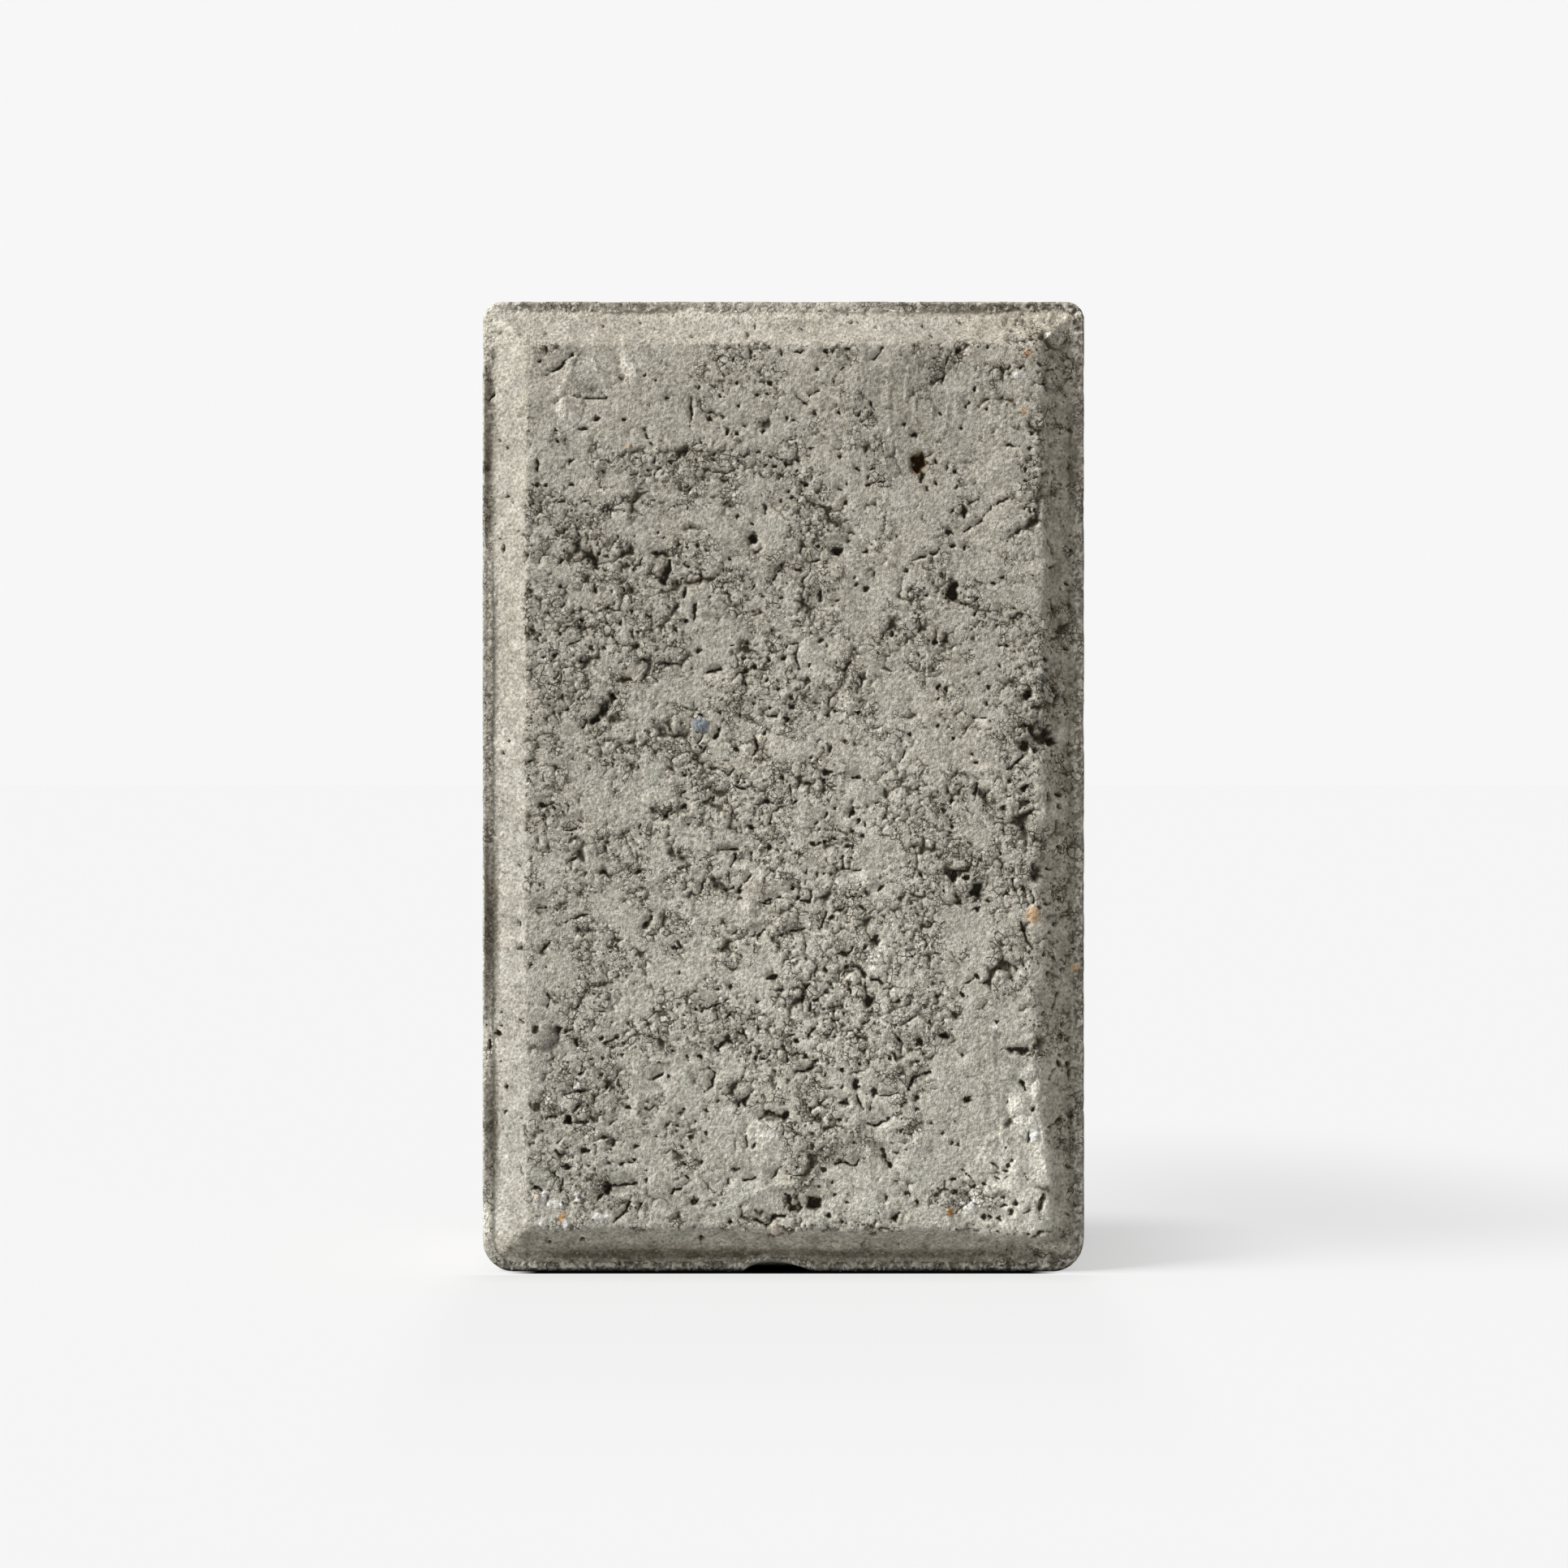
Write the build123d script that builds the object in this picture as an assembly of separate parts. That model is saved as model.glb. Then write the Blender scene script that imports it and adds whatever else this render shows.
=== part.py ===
from build123d import *
import os

# A small rectangular concrete paver, pressed in one piece. It stands on one short end.
# X runs across its width, Y from the wearing face (front, -Y) to the bed face (back, +Y),
# and Z up its length. The origin is the middle of the end that it stands on.
# All sizes are in millimetres.

# Overall size: a 100 x 160 module less a 2 mm joint.
length = 158.0
width = 98.0
thickness = 60.0

# Corners of the outline: the upper pair as moulded, the lower pair worn rounder.
moulded_corner_radius = 3.0
worn_corner_radius = 5.2

# The land: a narrow ledge that the press shoe leaves round the wearing face.
land_width = 1.7
land_drop = 3.9
land_edge_radius = 0.5

# The groove that the shoe's lip presses between the land and the bevel's foot.
groove_width = 0.6
groove_depth = 0.6

# The hollow bevel that climbs from the groove to the wearing face.
bevel_width = 5.1
bevel_hollow = 0.4
brow_radius = 0.6

# The arris round the bed face, rubbed by handling.
bed_edge_radius = 0.8

# The chip broken out of the lower land, with its crest left of its middle.
chip_width = 11.5
chip_height = 1.9
chip_reach = 7.0
chip_offset = -0.8
chip_crest_share = 0.28

# The main voids that the mix left in the wearing face: the largest one's size, and the share of
# its mouth that a void's floor keeps.
void_length = 5.4
void_width = 2.8
void_depth = 1.2
void_floor_share = 0.35

# A void's mouth, as shares of its half width and half length.
void_mouth_shares = ((0.1, -1.0), (0.9, -0.5), (1.0, 0.4), (0.3, 1.0), (-0.8, 0.6), (-1.0, -0.3))

# Each void's place across and up from the middle of the flat face, as shares of the flat's half
# sizes, its length and width as shares of the largest, and its lean as a share of a half turn.
void_shares = (
    (0.52, 0.73, 0.64, 1.00, 0.00),
    (-0.46, 0.48, 0.70, 0.67, 0.11),
    (0.66, 0.44, 0.68, 0.75, 0.06),
    (0.95, 0.10, 0.90, 0.90, 0.40),
    (0.75, -0.23, 0.64, 0.75, 0.20),
    (0.33, -0.49, 0.54, 0.67, 0.10),
    (0.63, -0.57, 0.50, 0.60, 0.50),
    (0.90, -0.60, 0.70, 0.50, 0.50),
    (0.12, -0.94, 0.56, 0.90, 0.00),
    (-0.70, 0.17, 1.00, 0.83, 0.23),
    (-0.89, -0.57, 0.64, 0.58, 0.17),
    (-0.65, -0.91, 1.00, 0.67, 0.50),
    (-0.04, -0.75, 0.90, 0.67, 0.50),
    (0.21, 0.53, 0.54, 0.67, 0.40),
    (-0.21, -0.14, 0.80, 0.60, 0.50),
    (-0.78, 0.28, 0.50, 0.42, 0.50),
    (-0.27, 0.26, 0.56, 0.50, 0.42),
    (0.26, -0.42, 0.80, 0.58, 0.45),
    (0.09, -0.64, 0.64, 0.58, 0.46),
    (-0.82, -0.69, 0.76, 0.58, 0.46),
    (0.34, -0.04, 0.50, 0.42, 0.40),
    (0.95, -0.34, 0.84, 0.50, -0.10),
    (0.40, -0.84, 0.64, 0.58, -0.15),
    (0.53, -0.66, 0.84, 0.50, 0.35),
    (-0.06, -0.26, 0.64, 0.50, 0.50),
    (-0.67, 0.55, 0.50, 0.42, 0.20),
    (-0.23, -0.58, 0.56, 0.58, 0.22),
    (-0.15, -0.71, 0.56, 0.58, 0.25),
    (-0.68, -0.58, 0.50, 0.50, 0.40),
    (0.36, -0.35, 0.50, 0.58, 0.22),
    (0.16, 0.03, 0.40, 0.50, 0.40),
    (-0.94, -0.04, 0.40, 0.58, 0.20),
    (-0.12, 0.56, 0.50, 0.67, 0.10),
    (-0.35, -0.94, 0.40, 0.50, 0.40),
    (0.72, -0.71, 0.40, 0.50, 0.30),
    (-0.70, -0.19, 0.40, 0.50, 0.30),
    (0.96, 0.21, 0.40, 0.50, 0.00),
    (-0.27, 0.84, 0.64, 0.50, 0.55),
    (-0.53, -0.31, 0.40, 0.50, 0.20),
)

# How far a cutting or joining solid runs past the surface that it works on.
overrun = 1.0

# Half a turn, in degrees.
half_turn = 180

# Levels along Y, from the wearing face back to the bed face.
face_level = -thickness / 2
land_level = face_level + land_drop
groove_level = land_level + groove_depth
bed_level = thickness / 2


def facing_front(level):
    """A plane at a level along Y that looks out of the wearing face, with X across and Z up."""
    return Plane(origin=(0, level, length / 2), x_dir=(1, 0, 0), z_dir=(0, -1, 0))


def outline(inset=0.0):
    """The paver's outline with its four rounded corners, drawn in by an inset."""
    Rectangle(width, length)
    fillet(vertices().group_by(Axis.Y)[0], worn_corner_radius)
    fillet(vertices().group_by(Axis.Y)[-1], moulded_corner_radius)
    if inset > 0:
        offset(amount=-inset, mode=Mode.REPLACE)


def bevel_section(span):
    """The raised panel cut across a span: hollow bevels that climb to a flat face."""
    foot = span / 2 - land_width - groove_width
    brow = foot - bevel_width
    root = groove_level + overrun
    with BuildLine() as section:
        Polyline((-foot, groove_level), (-foot, root), (foot, root), (foot, groove_level))
        SagittaArc((foot, groove_level), (brow, face_level), -bevel_hollow)
        Line((brow, face_level), (-brow, face_level))
        SagittaArc((-brow, face_level), (-foot, groove_level), -bevel_hollow)
    make_face(section.edges())


def raised_panel():
    """The wearing face on its bevels. Two sections crossed give the mitres at the corners."""
    along_length = Plane(origin=(0, 0, length / 2), x_dir=(0, 0, 1), z_dir=(-1, 0, 0))
    with BuildPart() as panel:
        with BuildSketch(Plane.XY):
            bevel_section(width)
        extrude(amount=length)
        with BuildSketch(along_length):
            bevel_section(length)
        extrude(amount=width / 2, both=True, mode=Mode.INTERSECT)
        fillet(panel.faces().sort_by(Axis.Y)[0].edges(), brow_radius)
        with BuildSketch(facing_front(groove_level + overrun)):
            outline(land_width + groove_width)
        extrude(amount=thickness, mode=Mode.INTERSECT)
    return panel.part


def block():
    """The body from the bed face up to the land, with the groove's floor sunk inside the land."""
    with BuildPart() as body:
        with BuildSketch(facing_front(bed_level)):
            outline()
        extrude(amount=bed_level - land_level)
        fillet(body.edges().group_by(Axis.Y)[-1], bed_edge_radius)
        fillet(body.edges().group_by(Axis.Y)[0], land_edge_radius)
        with BuildSketch(facing_front(groove_level)):
            outline(land_width)
        extrude(amount=groove_depth + overrun, mode=Mode.SUBTRACT)
    return body.part


def chip():
    """The lost flake: an arch in the land that sinks out of the paver towards the back."""
    half = chip_width / 2
    crest = (chip_crest_share - 0.5) * chip_width
    under = -chip_height - overrun
    fall = Vector(0, chip_reach, -chip_height)
    mouth = Plane(origin=(chip_offset, land_level, 0), x_dir=(1, 0, 0), z_dir=(0, -1, 0))
    with BuildSketch(mouth) as arch:
        with BuildLine():
            Bezier((-half, 0), (crest, 2 * chip_height), (half, 0))
            Polyline((half, 0), (half, under), (-half, under), (-half, 0))
        make_face()
    with BuildPart() as flake:
        extrude(arch.sketch, amount=land_drop + overrun)
        extrude(arch.sketch, amount=fall.length + overrun, dir=fall.normalized())
    return flake.part


def void(long, wide):
    """One void of the mix, from shares of the largest: an uneven mouth that narrows to a floor."""
    half_width = void_width * wide / 2
    half_length = void_length * long / 2
    mouth = [(x * half_width, y * half_length) for x, y in void_mouth_shares]
    with BuildPart() as hollow:
        with BuildSketch():
            Polygon(*mouth, align=None)
        with BuildSketch(Plane.XY.offset(-void_depth * wide)):
            Polygon(*[(x * void_floor_share, y * void_floor_share) for x, y in mouth], align=None)
        loft(ruled=True)
        extrude(hollow.faces().sort_by(Axis.Z)[-1], amount=overrun)
    return hollow.part


def voids():
    """All the main voids in their places on the wearing face."""
    edge = land_width + groove_width + bevel_width
    placed = []
    for across, up, long, wide, lean in void_shares:
        spot = Pos(across * (width / 2 - edge), up * (length / 2 - edge))
        placed.append(facing_front(face_level) * spot * Rot(Z=-lean * half_turn) * void(long, wide))
    return placed


def paver():
    """The whole paver as one solid."""
    return block() + raised_panel() - chip() - voids()


os.makedirs("parts", exist_ok=True)
export_step(paver(), "parts/paver.step")
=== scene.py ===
import itertools
import math

import bpy
import numpy as np
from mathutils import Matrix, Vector


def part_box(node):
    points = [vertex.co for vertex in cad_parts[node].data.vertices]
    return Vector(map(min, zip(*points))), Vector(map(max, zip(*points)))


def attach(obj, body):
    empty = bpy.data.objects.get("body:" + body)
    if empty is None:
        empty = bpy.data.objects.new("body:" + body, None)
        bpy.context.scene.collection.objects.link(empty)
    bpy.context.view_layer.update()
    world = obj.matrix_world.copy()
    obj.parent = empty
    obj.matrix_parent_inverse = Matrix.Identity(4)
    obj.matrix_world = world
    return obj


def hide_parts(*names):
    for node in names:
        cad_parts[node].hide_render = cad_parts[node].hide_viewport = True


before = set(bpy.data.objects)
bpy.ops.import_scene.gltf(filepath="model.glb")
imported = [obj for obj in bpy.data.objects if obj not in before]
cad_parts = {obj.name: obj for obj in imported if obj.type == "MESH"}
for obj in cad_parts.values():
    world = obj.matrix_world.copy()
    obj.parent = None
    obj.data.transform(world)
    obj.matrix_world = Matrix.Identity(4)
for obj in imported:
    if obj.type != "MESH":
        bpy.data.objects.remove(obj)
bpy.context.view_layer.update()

# A pressed concrete paver with its sand, pores, crevices and wear, on a pale floor.
# X runs across, Y from the wearing face to the bed face, Z up. Lengths are in millimetres
# until the mesh is made, and places taken from the photograph are in its pixels.

MM = 0.001
LOW, HIGH = (np.array(corner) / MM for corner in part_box("paver"))
HALF_WIDTH = (HIGH[0] - LOW[0]) / 2
LENGTH = HIGH[2] - LOW[2]
FACE, BED = LOW[1], HIGH[1]

# The moulded shape, as the solid has it.
UPPER_RADIUS = 3.0
LOWER_RADIUS = 5.2
LAND_WIDTH = 1.7
LAND_DROP = 3.9
LAND_EDGE = 0.5
GROOVE_WIDTH = 0.6
GROOVE_DEPTH = 0.6
BEVEL_WIDTH = 5.1
BED_EDGE = 0.8
CHIP_WIDTH = 11.5
CHIP_HEIGHT = 1.9
CHIP_REACH = 7.0
CHIP_OFFSET = -0.8
CHIP_CREST_SHARE = 0.28
VOID_LENGTH = 5.4
VOID_WIDTH = 2.8
VOID_DEPTH = 1.2
FOOT = LAND_WIDTH + GROOVE_WIDTH
BROW = FOOT + BEVEL_WIDTH

# How wear and filling change it: the groove is mostly filled, and the brow and the chip are eased.
GROOVE_SHARE = 0.25
TOP_GROOVE_SHARE = 0.05
FILL_LIMIT = 1.3
DITCH_LIMIT = 1.1
BEVEL_HOLLOW = 0.5
BROW_EASE = 0.5
WORN_EASE = 1.4
RAGGED_RIGHT = 1.4
CHIP_POWER = 1.15
CHIP_FADE = 5.0

# The grid that carries the relief, and the levels of the rings behind its rim.
STEP = 0.21
GROOVE_WALL = 0.05
COARSE = 3
FINE_ROWS = (0.25, 0.6, 1.1, 1.7, 2.5)
ROW_STEP = 0.7
BED_ANGLES = (30, 60, 90)
FACE_RECESS = 0.28
SIDE_RECESS = 0.06
DEEPEST = 1.7
TRIANGLES = 192000
SHARP_ANGLE = 75

# The camera, level, in front of the middle of the wearing face.
PHOTO_SIZE = 1932
PHOTO_MIDDLE_X = 965.2
PHOTO_MIDDLE_Y = 966
CAMERA_GAP = 645.0
CAMERA_HEIGHT = 79.4
PIXELS_PER_MM = 7.615
SENSOR_WIDTH = 36.0
CLIP_START = 0.05


def across(x):
    """Photograph pixel to millimetres across the face."""
    return (x - PHOTO_MIDDLE_X) / PIXELS_PER_MM


def up(y):
    """Photograph pixel to millimetres above the floor."""
    return CAMERA_HEIGHT + (PHOTO_MIDDLE_Y - y) / PIXELS_PER_MM


# Noise, the same on every run: the directions it can slope in, and the factors that mix its seeds.
SLOPES = {
    2: np.array([(math.cos(a), math.sin(a)) for a in np.arange(32) * math.pi / 16], np.float32),
    3: np.array([v for v in itertools.product((-1, 0, 1), repeat=3) if np.dot(v, v) == 2], np.float32),
}
SEED_STEP = 7919
SEED_START = 17
FIRST_MIX = np.uint32(2654435761)
NEXT_MIX = np.uint32(2246822519)
NOISE_GAIN = np.float32(1.5)
JITTER = 0.9
FAR = 9


def hashed(cell, seed):
    """A repeatable random number from 0 to 1 for each lattice cell."""
    mix = np.full(cell.shape[:-1], seed * SEED_STEP + SEED_START, np.uint32)
    for axis in range(cell.shape[-1]):
        mix ^= cell[..., axis].astype(np.uint32) * FIRST_MIX
        mix ^= mix >> np.uint32(15)
        mix *= NEXT_MIX
        mix ^= mix >> np.uint32(13)
    return (mix >> np.uint32(8)).astype(np.float32) / 2**24


def noise(points, size, seed):
    """Smooth noise from about -1 to 1 with bumps about as wide as size."""
    scaled = points / np.float32(size)
    cell = np.floor(scaled).astype(np.int32)
    part = (scaled - cell).astype(np.float32)
    ease = part * part * part * (part * (part * 6 - 15) + 10)
    slopes = SLOPES[points.shape[-1]]
    total = np.zeros(points.shape[:-1], np.float32)
    for corner in itertools.product((0, 1), repeat=points.shape[-1]):
        weight = np.float32(1)
        for axis, side in enumerate(corner):
            weight = weight * (ease[..., axis] if side else 1 - ease[..., axis])
        pick = (hashed(cell + np.array(corner, np.int32), seed) * len(slopes)).astype(np.int32)
        total += weight * np.sum(slopes[pick] * (part - np.array(corner, np.float32)), -1)
    return total * NOISE_GAIN


def layers(points, *rows, start=0):
    """The sum of a start and of noises, each a height, a size and a seed."""
    return sum((height * noise(points, size, seed) for height, size, seed in rows), start)


def shifts(points, size, seed):
    """A noise for each direction, to bend places with."""
    return np.stack([noise(points, size, seed + axis) for axis in range(points.shape[-1])], -1)


def scattered(points, size, seed):
    """Distances to the nearest and next of scattered centres, and a random number for the nearest."""
    scaled = points / np.float32(size)
    home = np.floor(scaled).astype(np.int32)
    nearest = np.full(points.shape[:-1], FAR, np.float32)
    second = nearest.copy()
    label = np.zeros(points.shape[:-1], np.float32)
    for step in itertools.product((-1, 0, 1), repeat=points.shape[-1]):
        cell = home + np.array(step, np.int32)
        away = np.zeros(points.shape[:-1], np.float32)
        for axis in range(points.shape[-1]):
            centre = cell[..., axis] + 0.5 + JITTER * (hashed(cell, seed + axis) - 0.5)
            away += (centre - scaled[..., axis]).astype(np.float32) ** 2
        closer = away < nearest
        second = np.where(closer, nearest, np.minimum(second, away))
        label = np.where(closer, hashed(cell, seed + 7), label)
        nearest = np.where(closer, away, nearest)
    return np.sqrt(nearest) * size, np.sqrt(second) * size, label


def turned(points, degrees):
    """Points turned about the origin of their plane, so that patterns don't line up with the grid."""
    c, s = math.cos(math.radians(degrees)), math.sin(math.radians(degrees))
    return points @ np.array([[c, -s], [s, c]], np.float32)


def ramp(low, high, value):
    """0 below low, 1 above high, and smooth between."""
    share = np.clip((value - low) / (high - low), 0, 1)
    return share * share * (3 - 2 * share)


# Features in the photograph, listed in its pixels.

# Round pits, by radius: x and y of each.
PITS = {
    1.7: (
        642, 410, 671, 409, 742, 399, 787, 394, 853, 412, 910, 394, 930, 399, 900, 419, 911, 425,
        988, 404, 1049, 393, 1059, 394, 1081, 401, 1137, 399, 1149, 413, 1184, 393, 631, 619, 623, 610,
        623, 549, 613, 540, 615, 663, 637, 654, 644, 659, 644, 692, 1302, 480, 1302, 515, 1300, 572,
        1300, 581, 617, 928, 625, 912, 617, 1075, 638, 1066, 673, 1192, 654, 1188, 616, 1248, 614, 1266,
        614, 1310, 621, 1372, 642, 1379, 755, 1291, 766, 1300, 728, 1304, 717, 1314, 749, 1334, 774, 1353,
        725, 1436, 865, 1431, 797, 1443, 796, 1454, 1025, 1457, 808, 1401, 1177, 1382, 1162, 1396,
        1163, 1098, 1128, 1120, 1303, 1082, 1078, 895, 1104, 661, 1044, 596, 900, 624, 931, 626, 792, 602,
        779, 619, 792, 619, 831, 624, 847, 625, 660, 629, 653, 622, 704, 663, 690, 657, 783, 660,
        811, 657, 817, 662, 801, 759, 760, 792, 745, 799, 695, 829, 692, 857, 713, 861, 1042, 913,
        999, 934, 973, 1030, 963, 1038, 1031, 1023, 1010, 1023, 786, 946, 808, 1010, 789, 1027, 788, 1018,
        671, 994,
    ),
    2.3: (
        666, 445, 687, 544, 685, 529, 797, 537, 802, 547, 812, 577, 799, 579, 744, 580, 794, 462,
        809, 467, 861, 477, 822, 490, 769, 516, 904, 443, 948, 429, 963, 435, 1006, 455, 1027, 470,
        908, 472, 948, 472, 887, 488, 934, 486, 945, 485, 910, 500, 1059, 510, 917, 525, 907, 534,
        940, 531, 1034, 508, 970, 516, 978, 517, 864, 544, 880, 560, 999, 552, 934, 556, 950, 563,
        943, 573, 956, 575, 964, 567, 963, 585, 981, 579, 1034, 563, 1075, 577, 1070, 587, 971, 606,
        962, 617, 976, 614, 1004, 622, 1035, 603, 1079, 622, 909, 636, 673, 597, 657, 597, 704, 597,
        1217, 427, 1258, 452, 1243, 452, 1282, 448, 1201, 479, 1235, 490, 1216, 504, 1184, 527, 1158, 510,
        1114, 522, 1271, 535, 1268, 552, 1152, 569, 1167, 577, 1177, 581, 1153, 596, 1142, 602, 1179, 599,
        1174, 629, 1264, 592, 1263, 577, 1263, 626, 1270, 629, 1275, 629, 738, 682, 748, 686, 736, 700,
        769, 726, 690, 722, 661, 738, 715, 772, 777, 754, 656, 777, 690, 781, 670, 809, 927, 645,
        900, 689, 870, 677, 859, 672, 939, 734, 962, 736, 1008, 674, 1055, 720, 1053, 711, 1032, 740,
        1099, 779, 1011, 789, 1018, 795, 966, 810, 928, 820, 917, 812, 903, 795, 998, 820, 919, 843,
        946, 838, 959, 849, 948, 872, 929, 867, 967, 884, 912, 881, 888, 879, 1030, 877, 1021, 882,
        1057, 847, 1165, 736, 1201, 756, 1236, 711, 1250, 749, 1259, 757, 1142, 733, 1229, 770, 1132, 777,
        1100, 782, 1233, 796, 1241, 795, 1232, 820, 1207, 829, 1166, 849, 1156, 847, 1157, 861, 1216, 867,
        1218, 847, 1290, 812, 1290, 825, 1317, 799, 1259, 895, 1277, 893, 1122, 905, 1156, 894, 1175, 910,
        1198, 929, 1203, 939, 1173, 1018, 1173, 1026, 1244, 962, 1233, 1052, 1293, 1071, 1203, 1120,
        1281, 1118, 885, 1219, 956, 1203, 1015, 961, 878, 985, 842, 976, 849, 1015, 926, 1052, 993, 1074,
        1007, 1077, 1015, 1076, 1024, 1077, 1029, 995, 1018, 1004, 1006, 1013, 1028, 1034, 1009, 1039,
        963, 1152, 928, 1154, 912, 1107, 1067, 1017, 1051, 1024, 857, 1243, 933, 1235, 863, 1303,
        847, 1302, 742, 1304, 857, 1382, 842, 1367, 835, 1388, 822, 1387, 851, 1402, 840, 1413, 782, 1430,
        766, 1435, 776, 1432, 829, 1296, 862, 1302, 865, 1245, 837, 1199, 1038, 1240, 1059, 1312,
        1038, 1319, 1096, 1304, 1186, 1300, 1131, 1308, 1017, 1324, 1038, 1340, 1130, 1367, 1053, 1409,
        1104, 1421, 907, 1442, 897, 1456, 982, 1439, 1009, 1462, 1029, 1473, 1044, 1482, 1038, 1507,
        848, 1451, 845, 1435, 864, 1432, 880, 1485, 900, 1505, 929, 1412, 797, 1367, 683, 1446, 847, 1451,
        1147, 1384, 1246, 1207, 1228, 1258, 1253, 1194, 1285, 1250, 1292, 1201, 1287, 1176, 1319, 1047,
        1295, 1149, 1307, 1119, 1307, 1109, 1229, 1453, 1237, 1476, 1063, 1535, 1107, 1536, 1196, 1480,
        1180, 1411, 1198, 1464, 1121, 1398, 1173, 1408, 1111, 1395, 1212, 1459, 1247, 1430, 1239, 1414,
        824, 1327, 741, 1323, 715, 1323, 712, 1240, 706, 1059, 713, 1049, 721, 1077,
    ),
    3: (
        703, 568, 837, 562, 874, 516, 662, 597, 736, 515, 1044, 430, 1018, 432, 1181, 432, 1004, 509,
        993, 597, 896, 531, 827, 570, 1042, 619, 1056, 577, 1174, 672, 1188, 675, 1118, 702, 1225, 719,
        699, 874, 785, 796, 764, 767, 717, 763, 683, 807, 845, 765, 833, 747, 808, 682, 862, 802,
        880, 947, 930, 823, 913, 971, 927, 1021, 965, 811, 975, 870, 975, 859, 1058, 878, 1012, 790,
        1067, 725, 919, 827, 1067, 680, 1051, 1000, 1157, 847, 1264, 893, 1263, 971, 1205, 1120,
        1204, 1203, 1186, 1226, 1071, 1236, 1134, 1284, 1034, 1381, 1190, 1355, 1302, 1139, 1308, 1313,
        1090, 1424, 1220, 1499, 1260, 1335, 1273, 1367, 700, 1440, 741, 1280, 719, 1418, 784, 1413,
        870, 1397, 870, 1369, 744, 1075, 751, 1080, 947, 988, 948, 1044, 926, 1020, 1001, 1040,
        1017, 1037, 1058, 1011, 1062, 1029, 842, 994, 911, 1099, 984, 1106, 977, 1094, 1025, 1130,
        899, 1250, 994, 1214, 900, 1216, 884, 1293, 863, 1303, 931, 1304, 993, 1302, 1006, 1307,
        831, 1168, 962, 1220, 1017, 1195, 1042, 1192, 1019, 1222, 1047, 1221, 982, 1283, 747, 1340,
        774, 1364, 756, 1410, 744, 1402, 829, 1467, 838, 1466, 1015, 1442, 1021, 1499, 1092, 1476,
        1101, 1502, 863, 1529, 660, 1465, 641, 1258, 639, 1137, 639, 1169, 612, 1275, 621, 1342,
        1130, 1482, 1118, 1470, 1174, 1453, 1200, 1462, 1242, 1437, 1252, 1483, 1212, 1500, 1231, 1502,
        1246, 1494, 1218, 1110, 1182, 1112, 1241, 1101, 1273, 1069, 1261, 1095, 1266, 988, 1260, 1004,
        1236, 995, 1307, 980, 1307, 994, 1173, 987, 1130, 1352, 1291, 1113, 843, 955,
    ),
    4.2: (
        1127, 536, 1205, 1105, 1190, 1082, 1284, 909, 1268, 856, 1263, 971, 899, 1284, 1072, 1232,
        1165, 1277, 1133, 1285, 1193, 1355, 721, 1418, 700, 1381, 686, 1270, 751, 1462, 744, 1075,
        1002, 1485, 855, 1481, 1040, 1359, 1077, 1346, 1103, 1500, 1296, 912, 1034, 680, 967, 1376,
        927, 663, 1050, 1001, 1022, 952,
    ),
}

# The solid's voids, as shares: place across and up from the face's middle, length, width and lean.
VOID_SHARES = (
    (0.52, 0.73, 0.64, 1, 0), (-0.46, 0.48, 0.7, 0.67, 0.11), (0.66, 0.44, 0.68, 0.75, 0.06),
    (0.95, 0.1, 0.9, 0.9, 0.4), (0.75, -0.23, 0.64, 0.75, 0.2), (0.33, -0.49, 0.54, 0.67, 0.1),
    (0.63, -0.57, 0.5, 0.6, 0.5), (0.9, -0.6, 0.7, 0.5, 0.5), (0.12, -0.94, 0.56, 0.9, 0),
    (-0.7, 0.17, 1, 0.83, 0.23), (-0.89, -0.57, 0.64, 0.58, 0.17), (-0.65, -0.91, 1, 0.67, 0.5),
    (-0.04, -0.75, 0.9, 0.67, 0.5), (0.21, 0.53, 0.54, 0.67, 0.4), (-0.21, -0.14, 0.8, 0.6, 0.5),
    (-0.78, 0.28, 0.5, 0.42, 0.5), (-0.27, 0.26, 0.56, 0.5, 0.42), (0.26, -0.42, 0.8, 0.58, 0.45),
    (0.09, -0.64, 0.64, 0.58, 0.46), (-0.82, -0.69, 0.76, 0.58, 0.46), (0.34, -0.04, 0.5, 0.42, 0.4),
    (0.95, -0.34, 0.84, 0.5, -0.1), (0.4, -0.84, 0.64, 0.58, -0.15), (0.53, -0.66, 0.84, 0.5, 0.35),
    (-0.06, -0.26, 0.64, 0.5, 0.5), (-0.67, 0.55, 0.5, 0.42, 0.2), (-0.23, -0.58, 0.56, 0.58, 0.22),
    (-0.15, -0.71, 0.56, 0.58, 0.25), (-0.68, -0.58, 0.5, 0.5, 0.4), (0.36, -0.35, 0.5, 0.58, 0.22),
    (0.16, 0.03, 0.4, 0.5, 0.4), (-0.94, -0.04, 0.4, 0.58, 0.2), (-0.12, 0.56, 0.5, 0.67, 0.1),
    (-0.35, -0.94, 0.4, 0.5, 0.4), (0.72, -0.71, 0.4, 0.5, 0.3), (-0.7, -0.19, 0.4, 0.5, 0.3),
    (0.96, 0.21, 0.4, 0.5, 0), (-0.27, 0.84, 0.64, 0.5, 0.55), (-0.53, -0.31, 0.4, 0.5, 0.2),
)

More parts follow.
